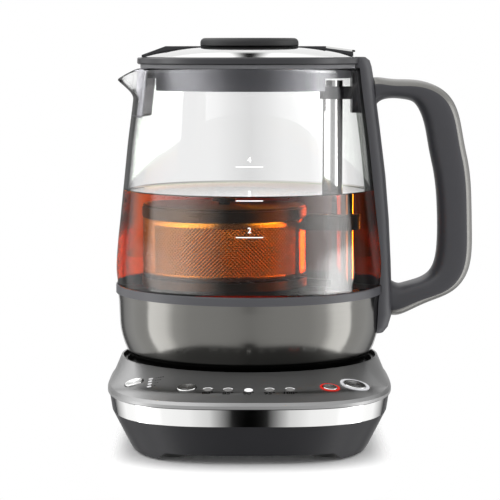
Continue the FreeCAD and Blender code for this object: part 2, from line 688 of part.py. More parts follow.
def make_seat_well():
    """Round seat for the jug, with the bosses that the screws hold."""
    outer = seat_radius - SEAT_CLEARANCE
    low = seat_z - SEAT_WALL
    hole = SOCKET_RADIUS + SEAT_CLEARANCE
    edge = seat_edge_z - DECK_THICKNESS
    inner = outer - SEAT_WALL
    dish = turned(((hole, low), (outer, low), (outer, edge), (inner, edge), (inner, seat_z), (hole, seat_z)))
    bosses = [disc(BOSS_RADIUS, BOSS_SPLIT_Z, low, x, y) for x, y in boss_places()]
    screw_end = (BOSS_SPLIT_Z + seat_z) / 2
    holes = [disc(SCREW_RADIUS + SCREW_CLEARANCE, BOSS_SPLIT_Z, screw_end + SCREW_CLEARANCE, x, y)
             for x, y in boss_places()]
    return without(joined([dish] + bosses), holes)


def make_connector_socket():
    """Round power socket in the middle of the seat, the same from every side."""
    top = seat_z + SOCKET_RISE
    flange_top = seat_z - SEAT_WALL
    flange_z = flange_top - SOCKET_FLANGE_THICKNESS
    low = flange_z - SOCKET_STUB
    groove_z = top - GROOVE_DEPTH
    return turned(((0, low), (SOCKET_RADIUS, low), (SOCKET_RADIUS, flange_z), (SOCKET_FLANGE_RADIUS, flange_z),
                   (SOCKET_FLANGE_RADIUS, flange_top), (SOCKET_RADIUS, flange_top), (SOCKET_RADIUS, top),
                   (GROOVE_OUTER_RADIUS, top), (GROOVE_OUTER_RADIUS, groove_z), (GROOVE_INNER_RADIUS, groove_z),
                   (GROOVE_INNER_RADIUS, top), (0, top)))


def make_socket_contacts():
    """Two contact sleeves on the walls of the socket's groove."""
    top = seat_z + SOCKET_RISE
    low = top - GROOVE_DEPTH
    inner = ring(GROOVE_INNER_RADIUS + CONTACT_THICKNESS, GROOVE_INNER_RADIUS, low, top - CONTACT_THICKNESS)
    outer = ring(GROOVE_OUTER_RADIUS, GROOVE_OUTER_RADIUS - CONTACT_THICKNESS, low, top - CONTACT_THICKNESS)
    return Part.makeCompound([inner, outer])


# ---------------------------------------------------------------- connector and bottom of the jug
def connector_radius():
    """Outer radius of the jug's connector, where it passes through the cover."""
    return SOCKET_RADIUS + CONNECTOR_PLAY + CONNECTOR_WALL


def cover_boss_top():
    """Top of the ring of the cover that the connector's flange rests on."""
    return seat_z + SOCKET_RISE + CONNECTOR_PLAY + CONNECTOR_TOP - CONNECTOR_FLANGE_THICKNESS


def make_jug_connector():
    """Connector under the jug: a cup over the socket with a contact sleeve in its groove."""
    bore = SOCKET_RADIUS + CONNECTOR_PLAY
    outer = connector_radius()
    ceiling = seat_z + SOCKET_RISE + CONNECTOR_PLAY
    top = ceiling + CONNECTOR_TOP
    groove = (GROOVE_INNER_RADIUS + GROOVE_OUTER_RADIUS) / 2
    half = (GROOVE_OUTER_RADIUS - GROOVE_INNER_RADIUS) / 2 - 2 * CONTACT_THICKNESS - CONNECTOR_PLAY / 2
    sleeve_z = ceiling - GROOVE_DEPTH + CONNECTOR_PLAY
    flange_z = top - CONNECTOR_FLANGE_THICKNESS + SWIVEL_SEAT_GAP
    return turned(((0, ceiling), (groove - half, ceiling), (groove - half, sleeve_z), (groove + half, sleeve_z),
                   (groove + half, ceiling), (bore, ceiling), (bore, jug_z), (outer, jug_z), (outer, flange_z),
                   (outer + CONNECTOR_FLANGE, flange_z), (outer + CONNECTOR_FLANGE, top), (0, top)))


def make_underside_cover():
    """Plastic cover under the jug, with the ring that the connector turns in."""
    bore = connector_radius() + SWIVEL_PLAY
    edge = shell_lower_radius - COVER_LEDGE
    inside = shell_lower_radius - SHELL_WALL - FLOOR_CLEARANCE
    top = jug_z + COVER_THICKNESS
    wall_top = shell_z + COVER_THICKNESS
    return turned(((bore, jug_z), (edge - COVER_CHAMFER, jug_z), (edge, jug_z + COVER_EDGE_HEIGHT),
                   (edge, shell_z), (inside, shell_z), (inside, wall_top), (inside - COVER_THICKNESS, wall_top),
                   (inside - COVER_THICKNESS, top), (bore + COVER_BOSS_WALL, top),
                   (bore + COVER_BOSS_WALL, cover_boss_top()), (bore, cover_boss_top())))


def shell_form(offset):
    """The steel shell's outer form, drawn in by offset, closed by a spline heel."""
    points = [V(shell_lower_radius + SHELL_HEEL * out - offset, 0, shell_z + SHELL_HEIGHT * up)
              for up, out in SHELL_CURVE]
    side = Part.BSplineCurve()
    side.interpolate(Points=points)
    corners = [points[-1], V(0, 0, points[-1].z), V(0, 0, points[0].z), points[0]]
    wire = Part.Wire([side.toShape()] + Part.makePolygon(corners).Edges)
    return Part.Face(wire).revolve(V(0, 0, 0), V(0, 0, 1), FULL_TURN)


def read_profile(profile, place):
    """Reads a profile of (place, value) pairs at a place, with straight lines between them."""
    for (low, first), (high, second) in zip(profile, profile[1:]):
        if place <= high:
            break
    return first + (second - first) * (place - low) / (high - low)


def handle_screw_seat(height):
    """Where the face of a screw's head lies, just inside the steel shell."""
    share = read_profile(SHELL_CURVE, (glass_z + height - shell_z) / SHELL_HEIGHT)
    return shell_lower_radius + SHELL_HEEL * share - SHELL_WALL - HANDLE_SCREW_GAP


def handle_screw_shank(height, length, grow):
    """Shank of a screw that holds the handle, grown all round by a clearance."""
    foot = V(handle_screw_seat(height), 0, glass_z + height)
    return Part.makeCylinder(HANDLE_SCREW_RADIUS + grow, length + grow, foot, V(1, 0, 0))


def handle_screw_holes():
    """Clearance holes for the handle's screws."""
    return [handle_screw_shank(height, length, SCREW_CLEARANCE) for height, length in HANDLE_SCREWS]


def make_steel_shell():
    """Steel shell round the bottom of the jug, with a rounded heel."""
    return without(shell_form(0.0).cut(shell_form(SHELL_WALL)), handle_screw_holes())


def make_jug_collar():
    """Ring between the steel shell and the glass."""
    inner = glass_foot_radius + GLASS_PROFILE[1][1] + COLLAR_CLEARANCE
    ledge = JUG_RADIUS - SHELL_WALL + COLLAR_CLEARANCE
    top = shell_top + COLLAR_HEIGHT
    form = turned(((ledge, shell_top), (collar_radius, shell_top), (collar_radius, top), (inner, top),
                   (inner, glass_z), (ledge, glass_z)))
    return form.makeFillet(COLLAR_ROUND, round_edges(form, collar_radius, top))


def make_floor_plate():
    """Steel floor of the jug, with holes for the post and the temperature sensor."""
    radius = JUG_RADIUS - SHELL_WALL - FLOOR_CLEARANCE
    holes = [disc(POST_RADIUS + POST_CLEARANCE, floor_z, floor_top, post_x),
             disc(SENSOR_RADIUS + POST_CLEARANCE, floor_z, floor_top, SENSOR_X, SENSOR_Y)]
    return without(disc(radius, floor_z, floor_top), holes)


def make_floor_seal():
    """Silicone ring between the floor plate and the glass."""
    outer = JUG_RADIUS - SHELL_WALL - FLOOR_CLEARANCE
    return ring(outer, outer - SEAL_WIDTH, floor_top, glass_z)


def make_heater_plate():
    """Plate that spreads the heat under the floor."""
    return disc(HEATER_PLATE_RADIUS, floor_z - HEATER_PLATE_THICKNESS, floor_z, HEATER_X)


def make_heating_element():
    """Sheathed heater: an open ring under its plate, with two connection pins."""
    z = floor_z - HEATER_PLATE_THICKNESS - HEATER_TUBE_RADIUS
    tube = Part.makeTorus(HEATER_RING_RADIUS, HEATER_TUBE_RADIUS, V(HEATER_X, 0, z), V(0, 0, 1), -FULL_TURN / 2,
                          FULL_TURN / 2, HEATER_SWEEP)
    tube.rotate(V(HEATER_X, 0, z), V(0, 0, 1), (FULL_TURN - HEATER_SWEEP) / 2)
    inset = (FULL_TURN - HEATER_SWEEP) / 2 + math.degrees(HEATER_TUBE_RADIUS / HEATER_RING_RADIUS)
    pins = []
    for side in (-1, 1):
        angle = math.radians(side * inset)
        x = HEATER_X + HEATER_RING_RADIUS * math.cos(angle)
        pins.append(disc(HEATER_PIN_RADIUS, z - HEATER_PIN_LENGTH, z, x, HEATER_RING_RADIUS * math.sin(angle)))
    return joined([tube] + pins)


def make_temperature_sensor():
    """Temperature sensor through the floor of the jug."""
    low = floor_z - SENSOR_TAIL
    flange = SENSOR_RADIUS + SENSOR_FLANGE
    flange_top = floor_top + FLOOR_THICKNESS
    tip = floor_top + SENSOR_TIP
    return turned(((0, low), (SENSOR_RADIUS, low), (SENSOR_RADIUS, floor_top), (flange, floor_top),
                   (flange, flange_top), (SENSOR_RADIUS, flange_top), (SENSOR_RADIUS, tip), (0, tip)),
                  SENSOR_X, SENSOR_Y)


# ---------------------------------------------------------------- glass
def glass_body(offset):
    """The glass without its spout as a solid of revolution, drawn in by offset."""
    points = [V(glass_foot_radius + change - offset, 0, glass_z + height) for height, change in GLASS_PROFILE]
    side = Part.BSplineCurve()
    side.interpolate(Points=points)
    corners = [points[-1], V(0, 0, points[-1].z), V(0, 0, points[0].z), points[0]]
    wire = Part.Wire([side.toShape()] + Part.makePolygon(corners).Edges)
    return Part.Face(wire).revolve(V(0, 0, 0), V(0, 0, 1), FULL_TURN)


def section_angles():
    """Angles of a section's points in degrees, closer together across the spout."""
    span = 2 * (SPOUT_HALF_ANGLE + SPOUT_MARGIN_ANGLE)
    start = SPOUT_BEARING - span / 2
    across = [start + span * i / SPOUT_POINTS for i in range(SPOUT_POINTS)]
    round_back = [start + span + (FULL_TURN - span) * i / ROUND_POINTS for i in range(ROUND_POINTS)]
    return across + round_back


def glass_section(height, radius, reach):
    """A closed section of the glass, pulled out into the spout on the -X side."""
    angles = section_angles()
    points = []
    for angle in angles:
        off = abs(angle - SPOUT_BEARING) / SPOUT_HALF_ANGLE
        swell = reach * math.cos(off * math.pi / 2) ** 2 if off < 1 else 0.0
        bearing = math.radians(angle)
        points.append(V((radius + swell) * math.cos(bearing), (radius + swell) * math.sin(bearing), height))
    curve = Part.BSplineCurve()
    curve.interpolate(Points=points, PeriodicFlag=True, Parameters=angles + [angles[0] + FULL_TURN])
    return Part.Wire(curve.toShape())


def spout_reach(height):
    """How far the spout reaches out of the round glass at a height."""
    share = min(max((height - spout_z) / SPOUT_RISE, 0.0), 1.0)
    return SPOUT_REACH * share * share * (3 - 2 * share)


def glass_form(offset):
    """The glass with its spout as a solid, drawn in by offset."""
    heights = [glass_z + height for height, change in GLASS_PROFILE[:-1]]
    heights += [spout_z + SPOUT_DEPTH * i / SPOUT_SECTIONS for i in range(SPOUT_SECTIONS + 1)]
    sections = []
    for z in heights:
        radius = glass_foot_radius + read_profile(GLASS_PROFILE, z - glass_z) - offset
        sections.append(glass_section(z, radius, spout_reach(z)))
    return smooth(sections)


def glass_inner_radius(z):
    """Inner radius of the glass at a height, away from the spout."""
    return glass_foot_radius + read_profile(GLASS_PROFILE, z - glass_z) - GLASS_WALL


def make_glass_jug():
    """Glass body of the jug, with its rim sloping down to the tip of the spout."""
    body = glass_form(0.0).cut(glass_form(GLASS_WALL))
    far = spout_cut_x + 3 * SPOUT_CUT_RUN
    tip_z = glass_top - SPOUT_CUT_DROP
    above = glass_top + SPOUT_CUT_RUN
    slope = [(-spout_cut_x, glass_top), (-spout_cut_x - SPOUT_CUT_RUN, tip_z), (-far, tip_z), (-far, above),
             (-spout_cut_x, above)]
    return body.cut(prism(slope, spout_cut_x))


def make_spout_strainer():
    """Strainer that stands inside the glass in front of the spout."""
    top = glass_top - STRAINER_GAP
    low = top - STRAINER_HEIGHT
    outer = [(glass_inner_radius(z) - STRAINER_GAP, z) for z in (low, glass_z + GLASS_PROFILE[-2][0], top)]
    inner = [(r - STRAINER_THICKNESS, z) for r, z in reversed(outer)]
    return turned(outer + inner, start=SPOUT_BEARING - STRAINER_HALF_ANGLE, sweep=2 * STRAINER_HALF_ANGLE)


# ---------------------------------------------------------------- lift
def make_basket_post():
    """Closed steel tube that the basket slides on."""
    inner = POST_RADIUS - POST_WALL
    return turned(((inner, motor_top), (POST_RADIUS, motor_top), (POST_RADIUS, post_top), (0, post_top),
                   (0, post_top - POST_WALL), (inner, post_top - POST_WALL)), post_x)


def make_post_foot_seal():
    """Ring that seals the post to the floor."""
    return ring(POST_FOOT_RADIUS, POST_RADIUS + POST_CLEARANCE, floor_top, floor_top + POST_FOOT_HEIGHT, post_x)


def make_lift_motor():
    """Gear motor under the post."""
    return disc(MOTOR_RADIUS, motor_top - MOTOR_HEIGHT, motor_top, post_x)


def make_lift_screw():
    """Screw rod inside the post, turned by the motor."""
    top = post_top - POST_WALL - SCREW_ROD_TOP_GAP
    return disc(SCREW_ROD_RADIUS, motor_top + SCREW_ROD_BOTTOM_GAP, top, post_x)


def saddle_middle():
    """Height of the middle of the saddle and of the magnets."""
    return saddle_top - SADDLE_HEIGHT / 2


def make_drive_magnet():
    """Magnet nut that the screw rod moves inside the post."""
    middle = saddle_middle()
    return ring(POST_RADIUS - POST_WALL - NUT_CLEARANCE, SCREW_ROD_RADIUS + NUT_CLEARANCE, middle - NUT_HEIGHT / 2,
                middle + NUT_HEIGHT / 2, post_x)


def make_post_top_bracket():
    """Holder of the post's top: a ring, an arm and a strap that hooks over the glass."""
    low = post_top - BRACKET_DROP
    high = low + BRACKET_HEIGHT
    hug = disc(POST_RADIUS + BRACKET_WALL, low, high, post_x)
    arm = block((post_x, strap_x + BRACKET_WALL), (-BRACKET_ARM_HALF_WIDTH, BRACKET_ARM_HALF_WIDTH), (low, high))
    bore = disc(POST_RADIUS + POST_CLEARANCE, low, high, post_x)
    width = (-STRAP_HALF_WIDTH, STRAP_HALF_WIDTH)
    hook_top = glass_top + STRAP_HOOK
    strap = block((strap_x, strap_reach), width, (glass_top - STRAP_HEIGHT, hook_top))
    strap = strap.common(glass_body(GLASS_WALL + STRAP_GAP))
    neck = block((strap_x, strap_x + BRACKET_WALL), width, (low, hook_top))
    hook = block((strap_x, strap_reach), width, (glass_top + STRAP_GAP, hook_top))
    return joined([hug, arm, strap, neck, hook]).cut(bore)


# ---------------------------------------------------------------- basket
def make_basket_base_ring():
    """Lower ring of the basket."""
    return ring(BASKET_RADIUS, BASKET_RADIUS - BASKET_RING_THICKNESS, basket_z, mesh_z, BASKET_X)


def make_basket_floor():
    """Floor of the basket, inside its lower ring."""
    radius = BASKET_RADIUS - BASKET_RING_THICKNESS - BASKET_FLOOR_CLEARANCE
    return disc(radius, basket_z, basket_z + BASKET_FLOOR_THICKNESS, BASKET_X)


def make_basket_mesh():
    """Thin strainer wall of the basket."""
    outer = BASKET_RADIUS - BASKET_MESH_INSET
    return ring(outer, outer - BASKET_MESH_THICKNESS, mesh_z, rim_z, BASKET_X)


def make_basket_rim():
    """Upper ring of the basket."""
    return ring(BASKET_RADIUS, BASKET_RADIUS - BASKET_RING_THICKNESS, rim_z, basket_top, BASKET_X)


def saddle_radius():
    """Outer radius of the saddle."""
    return POST_RADIUS + SADDLE_CLEARANCE + SADDLE_WALL


def saddle_magnet_ring(low, high):
    """The ring that the saddle's magnet fills."""
    inner = POST_RADIUS + SADDLE_CLEARANCE + MAGNET_INSET
    return ring(inner + MAGNET_WALL, inner, low, high, post_x)


def make_basket_saddle():
    """Carriage on the post that carries the basket, with a pocket for its magnet."""
    low = saddle_top - SADDLE_HEIGHT
    hub = disc(saddle_radius(), low, saddle_top, post_x)
    start = BASKET_X + BASKET_RADIUS - BASKET_RING_THICKNESS
    arm = block((start, post_x), (-SADDLE_ARM_HALF_WIDTH, SADDLE_ARM_HALF_WIDTH), (low, saddle_top))
    inside = disc(BASKET_RADIUS, low, saddle_top, BASKET_X)
    bore = disc(POST_RADIUS + SADDLE_CLEARANCE, low, saddle_top, post_x)
    return without(joined([hub, arm]), [inside, bore, saddle_magnet_ring(saddle_top - MAGNET_HEIGHT, saddle_top)])


def make_saddle_magnet():
    """Ring magnet in the saddle, drawn along by the magnet nut in the post."""
    return saddle_magnet_ring(saddle_top - MAGNET_HEIGHT, saddle_top)


def make_basket_lid():
    """Lid of the basket: a disc with a short skirt."""
    skirt = BASKET_RADIUS - BASKET_RING_THICKNESS - BASKET_LID_GAP
    edge = BASKET_RADIUS - BASKET_LID_OVERLAP
    low = basket_top + BASKET_LID_GAP
    top = low + BASKET_LID_THICKNESS
    skirt_z = low - BASKET_LID_SKIRT
    inner = skirt - BASKET_LID_THICKNESS
    return turned(((0, low), (inner, low), (inner, skirt_z), (skirt, skirt_z), (skirt, low), (edge, low),
                   (edge, top), (0, top)), BASKET_X)


def make_basket_lid_knob():
    """Knob on the basket's lid."""
    low = basket_top + BASKET_LID_GAP + BASKET_LID_THICKNESS
    top = low + BASKET_KNOB_HEIGHT
    head_z = top - BASKET_KNOB_HEAD
    form = turned(((0, low), (BASKET_KNOB_NECK, low), (BASKET_KNOB_NECK, head_z), (BASKET_KNOB_RADIUS, head_z),
                   (BASKET_KNOB_RADIUS, top), (0, top)), BASKET_X)
    return form.makeFillet(BASKET_KNOB_ROUND, round_edges(form, BASKET_KNOB_RADIUS, top))


# ---------------------------------------------------------------- handle
def spine_section(height, beyond):
    """A level section of the spine: square to the glass, rounded on the outside."""
    w = SPINE_HALF_WIDTH
    z = glass_z + height
    inner = spine_inner_x
    outer = JUG_RADIUS + beyond
    corner = min(SPINE_CORNER, SPINE_CORNER_SHARE * (outer - inner))
    mid = corner * (1 - math.sqrt(0.5))
    edges = [
        Part.LineSegment(V(inner, w, z), V(inner, -w, z)),
        Part.LineSegment(V(inner, -w, z), V(outer - corner, -w, z)),
        Part.Arc(V(outer - corner, -w, z), V(outer - mid, -w + mid, z), V(outer, -w + corner, z)),
        Part.LineSegment(V(outer, -w + corner, z), V(outer, w - corner, z)),
        Part.Arc(V(outer, w - corner, z), V(outer - mid, w - mid, z), V(outer - corner, w, z)),
        Part.LineSegment(V(outer - corner, w, z), V(inner, w, z)),
    ]
    return Part.Wire([edge.toShape() for edge in edges])


def jug_outside(gap):
    """Everything inside the outer surface of the jug, grown by a gap."""
    return [shell_form(-gap), disc(collar_radius + gap, shell_top, shell_top + COLLAR_HEIGHT + gap),
            glass_body(-gap)]


def spine_form():
    """The whole spine, before it is fitted to the jug."""
    return ruled([spine_section(height, beyond) for height, beyond in SPINE_SECTIONS])


def make_handle_spine():
    """Back of the handle, which hugs the glass and reaches over its rim."""
    spine = spine_form()
    half = STRAP_HALF_WIDTH + STRAP_GAP
    hook = block((spine_inner_x, strap_reach + STRAP_GAP), (-half, half),
                 (glass_top - STRAP_GAP, glass_top + STRAP_HOOK + STRAP_GAP))
    under_head = block((0.0, spine_inner_x + GLASS_WALL), (-SPINE_HALF_WIDTH, SPINE_HALF_WIDTH),
                       (jug_z, glass_top + SPINE_GAP))
    inside = disc(glass_inner_radius(glass_top) + GLASS_WALL + SPINE_GAP, glass_top, glass_top + SPINE_GAP)
    return without(spine, jug_outside(SPINE_GAP) + [under_head, inside, hook] + handle_screw_holes())


def grip_ends(skin):
    """Outer and inner point of each section of the grip, both drawn in by a skin."""
    ends = []
    for outer_x, outer_z, inner_x, inner_z in GRIP_SECTIONS:
        outer = V(JUG_RADIUS + outer_x, 0, glass_z + outer_z)
        inner = V(JUG_RADIUS + inner_x, 0, glass_z + inner_z)
        way = (outer - inner).normalize()
        ends.append((outer - way * skin, inner - way * skin))
    return ends


def grip_section(outer, inner):
    """A rounded section of the grip between its outer and inner point."""
    centre = (outer + inner) * 0.5
    reach = (outer - inner) * 0.5
    points = []
    for i in range(GRIP_POINTS):
        angle = 2 * math.pi * i / GRIP_POINTS
        c = math.cos(angle)
        s = math.sin(angle)
        radius = (abs(c) ** GRIP_SQUARENESS + abs(s) ** GRIP_SQUARENESS) ** (-1.0 / GRIP_SQUARENESS)
        points.append(centre + reach * (radius * c) + V(0, GRIP_HALF_WIDTH * radius * s, 0))
    return closed_spline(points)


def grip_form():
    """The whole bow of the handle, clear of the spine."""
    return smooth([grip_section(outer, inner) for outer, inner in grip_ends(0.0)]).cut(spine_form())


def grip_core():
    """What lies inside the outer shell of the grip."""
    side = V(0, GRIP_HALF_WIDTH + GRIP_SKIN, 0)
    wires = []
    for outer, inner in grip_ends(GRIP_SKIN):
        corners = [outer - side, outer + side, inner + side, inner - side]
        wires.append(Part.makePolygon(corners + corners[:1]))
    return smooth(wires)


def make_handle_grip():
    """Inner part of the handle's bow, where the fingers lie."""
    return without(grip_form().common(grip_core()), handle_screw_holes())


def make_handle_outer_shell():
    """Outer shell of the handle's bow."""
    return without(grip_form(), [grip_core()] + handle_screw_holes())


def make_handle_screws():
    """Two screws that hold the handle, from inside the steel shell."""
    screws = []
    for height, length in HANDLE_SCREWS:
        foot = V(handle_screw_seat(height) - HANDLE_HEAD_HEIGHT, 0, glass_z + height)
        head = Part.makeCylinder(HANDLE_HEAD_RADIUS, HANDLE_HEAD_HEIGHT, foot, V(1, 0, 0))
        screws.append(joined([head, handle_screw_shank(height, length, 0.0)]))
    return Part.makeCompound(screws)


# ---------------------------------------------------------------- lid
def head_notch():
    """Room in the lid for the head of the handle."""
    half = SPINE_HALF_WIDTH + HEAD_NOTCH_PLAY
    return block((spine_inner_x - HEAD_NOTCH_PLAY, 2 * lid_rim_radius), (-half, half),
                 (glass_z, bar_top + BAR_HEIGHT))


def make_lid_plug():
    """Plug of the lid: its top plate and the stepped skirt inside the glass."""
    step = seal_z - LID_NECK_DROP
    low = step - LID_SKIRT_DROP
    ceiling = plug_z + LID_FLANGE_THICKNESS - LID_CEILING
    inner = lid_skirt_radius - LID_SKIRT_WALL
    form = turned(((0, ceiling), (inner, ceiling), (inner, low), (lid_skirt_radius, low),
                   (lid_skirt_radius, step), (lid_neck_radius, step), (lid_neck_radius, plug_z),
                   (lid_flange_radius, plug_z), (lid_flange_radius, plug_z + LID_FLANGE_THICKNESS),
                   (0, plug_z + LID_FLANGE_THICKNESS)))
    wide = 2 * lid_rim_radius
    window = block((post_x - POST_RADIUS - WINDOW_PLAY, wide), (-wide, wide), (low, step))
    pour = block((-wide, POUR_DEPTH - lid_skirt_radius), (-wide, wide), (low, step))
    half = STRAP_HALF_WIDTH + NECK_NOTCH_PLAY
    notch = block((strap_x - NECK_NOTCH_DEPTH, wide), (-half, half), (low, plug_z))
    screws = [disc(SCREW_RADIUS, ceiling, plug_z + LID_FLANGE_THICKNESS, x) for x in (-LID_SCREW_X, LID_SCREW_X)]
    return without(form, [window, pour, notch, head_notch()] + screws)


def make_lid_seal():
    """Silicone seal round the plug."""
    return ring(mouth_radius - LID_SEAL_INSET, lid_neck_radius + LID_CLEARANCE, seal_z, plug_z).cut(head_notch())


def make_lid_rim():
    """Outer ring of the lid, clamped on the plug's flange."""
    ledge_z = plug_z + LID_FLANGE_THICKNESS
    inner = lid_flange_radius + LID_CLEARANCE
    bevel = lid_rim_radius - LID_RIM_ROUND
    ledge = inner - LID_RIM_LEDGE
    form = turned(((inner, plug_z), (bevel, plug_z), (lid_rim_radius, plug_z + LID_RIM_ROUND),
                   (lid_rim_radius, cap_z - LID_RIM_ROUND), (bevel, cap_z), (ledge, cap_z), (ledge, ledge_z),
                   (inner, ledge_z)))
    return form.cut(head_notch())


def make_lid_cap():
    """Polished dome of the lid, in two halves beside the bar."""
    edge_z = cap_z + CAP_EDGE_HEIGHT
    outer = [(cap_radius, cap_z), (cap_radius, edge_z)]
    outer += [(cap_radius * out, cap_z + CAP_RISE * up) for out, up in CAP_CURVE]
    inner = [(cap_radius - CAP_WALL, cap_z), (cap_radius - CAP_WALL, edge_z - CAP_WALL / 2)]
    inner += [(r - CAP_WALL / 2, z - CAP_WALL) for r, z in outer[2:]]
    crown = [(0, outer[-1][1]), (0, inner[-1][1])]
    dome = turned(outer + crown + inner[::-1])
    half = BAR_HALF_WIDTH + BAR_CLEARANCE
    slot = block((-2 * cap_radius, 2 * cap_radius), (-half, half), (cap_z - BAR_HEIGHT, bar_top + BAR_HEIGHT))
    return without(dome, [slot, head_notch()])


def make_lid_bar():
    """Bar across the lid from the spout to the handle, sloping down at both ends."""
    tab_low = bar_top - TAB_THICKNESS
    handle_end = spine_inner_x + BAR_OVERHANG
    end_drop = TAB_DROP * (handle_end - tab_start) / TAB_LENGTH
    undercut = spine_inner_x - HEAD_NOTCH_PLAY
    lift = cap_z + BAR_HANDLE_UNDERCUT
    spout_end = BAR_SPOUT_INSET - lid_rim_radius
    outline = [(spout_end, cap_z), (spout_end, cap_z + BAR_SPOUT_STEP), (spout_end + BAR_SPOUT_SLOPE, bar_top),
               (tab_start, bar_top), (tab_start, tab_low), (handle_end, tab_low - end_drop), (handle_end, lift),
               (undercut, lift), (undercut, cap_z)]
    holes = [disc(SCREW_RADIUS, cap_z, cap_z + LID_SCREW_DEPTH, x) for x in (-LID_SCREW_X, LID_SCREW_X)]
    return without(prism(outline, BAR_HALF_WIDTH), holes)


def tab_outline(start, end):
    """Side view of the tab between two places along X."""
    start_z, end_z = [bar_top - (x - tab_start) * TAB_DROP / TAB_LENGTH for x in (start, end)]
    return [(start, start_z - TAB_THICKNESS), (end, end_z - TAB_THICKNESS), (end, end_z), (start, start_z)]


def make_lid_tab():
    """Steel tab at the handle end of the bar."""
    return prism(tab_outline(tab_start, tab_end - TAB_TIP), TAB_HALF_WIDTH)


def make_lid_tab_tip():
    """Rubber tip of the tab."""
    return prism(tab_outline(tab_end - TAB_TIP, tab_end), TAB_HALF_WIDTH)


def make_lid_knob():
    """Low round knob on the bar, with rounded edges."""
    top = bar_top + KNOB_HEIGHT
    form = disc(KNOB_RADIUS, bar_top, top)
    form = form.makeFillet(KNOB_ROUND, round_edges(form, KNOB_RADIUS, top))
    return form.makeFillet(KNOB_FOOT_ROUND, round_edges(form, KNOB_RADIUS, bar_top))


def make_lid_screws():
    """Two screws from under the plug into the bar."""
    ceiling = plug_z + LID_FLANGE_THICKNESS - LID_CEILING
    screws = []
    for x in (-LID_SCREW_X, LID_SCREW_X):
        head = disc(SCREW_HEAD_RADIUS, ceiling - SCREW_HEAD_HEIGHT, ceiling, x)
        shank = disc(SCREW_RADIUS - SCREW_CLEARANCE, ceiling, cap_z + LID_SCREW_DEPTH - SCREW_CLEARANCE, x)
        screws.append(joined([head, shank]))
    return Part.makeCompound(screws)


# ---------------------------------------------------------------- the parts
def make_parts():
    """Every part of the tea maker, by name."""
    parts = {
        "base_housing": make_base_housing(),
        "base_trim_band": make_base_trim_band(),
        "base_bottom_plate": make_base_bottom_plate(),
        "rubber_feet": make_rubber_feet(),
        "base_screws": make_base_screws(),
        "cord_gland": make_cord_gland(),
        "base_deck": make_base_deck(),
        "seat_well": make_seat_well(),
        "connector_socket": make_connector_socket(),
        "socket_contacts": make_socket_contacts(),
        "control_board": make_control_board(),
        "tact_switches": make_tact_switches(),
        "strength_leds": leds(STRENGTH_LEDS, STRENGTH_LED_RADIUS),
        "temperature_leds": leds(temperature_led_places(), TEMPERATURE_LED_RADIUS),
        "cancel_ring": light_ring(CANCEL_BUTTON, CANCEL_RING_RADIUS, CANCEL_BUTTON_RADIUS + BUTTON_CLEARANCE),
        "start_ring": light_ring(START_BUTTON, START_RING_RADIUS, START_BUTTON_RADIUS + BUTTON_CLEARANCE),
        "button_strength": button(STRENGTH_BUTTON, SMALL_BUTTON_RADIUS),
        "button_temperature": button(TEMPERATURE_BUTTON, SMALL_BUTTON_RADIUS),
        "button_cancel": button(CANCEL_BUTTON, CANCEL_BUTTON_RADIUS),
        "button_start": button(START_BUTTON, START_BUTTON_RADIUS),
        "jug_connector": make_jug_connector(),
        "underside_cover": make_underside_cover(),
        "steel_shell": make_steel_shell(),
        "jug_collar": make_jug_collar(),
        "floor_plate": make_floor_plate(),
        "floor_seal": make_floor_seal(),
        "heater_plate": make_heater_plate(),
        "heating_element": make_heating_element(),
        "temperature_sensor": make_temperature_sensor(),
        "glass_jug": make_glass_jug(),
        "spout_strainer": make_spout_strainer(),
        "basket_post": make_basket_post(),
        "post_foot_seal": make_post_foot_seal(),
        "post_top_bracket": make_post_top_bracket(),
        "lift_motor": make_lift_motor(),
        "lift_screw": make_lift_screw(),
        "drive_magnet": make_drive_magnet(),
        "basket_base_ring": make_basket_base_ring(),
        "basket_floor": make_basket_floor(),
        "basket_mesh": make_basket_mesh(),
        "basket_rim": make_basket_rim(),
        "basket_saddle": make_basket_saddle(),
        "saddle_magnet": make_saddle_magnet(),
        "basket_lid": make_basket_lid(),
        "basket_lid_knob": make_basket_lid_knob(),
        "handle_spine": make_handle_spine(),
        "handle_grip": make_handle_grip(),
        "handle_outer_shell": make_handle_outer_shell(),
        "handle_screws": make_handle_screws(),
        "lid_plug": make_lid_plug(),
        "lid_seal": make_lid_seal(),
        "lid_rim": make_lid_rim(),
        "lid_cap": make_lid_cap(),
        "lid_bar": make_lid_bar(),
        "lid_tab": make_lid_tab(),
        "lid_tab_tip": make_lid_tab_tip(),
        "lid_knob": make_lid_knob(),
        "lid_screws": make_lid_screws(),
    }
    return parts


os.makedirs("parts", exist_ok=True)
for name, shape in make_parts().items():
    shape.exportStep("parts/" + name + ".step")
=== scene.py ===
"""Looks of an automatic tea maker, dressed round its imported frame.

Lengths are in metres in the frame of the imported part: +Z is up, the controls face -Y, the handle
is on +X, the spout is on -X, and the origin is on the table under the jug's axis. Sizes that are
read more easily in millimetres are written in them and scaled by MM.
"""
from __future__ import annotations

import json
import logging
import math
import sys
from dataclasses import dataclass
from enum import Enum
from typing import Callable, Iterable, Sequence

import bpy
from mathutils import Matrix, Vector
from mathutils.bvhtree import BVHTree

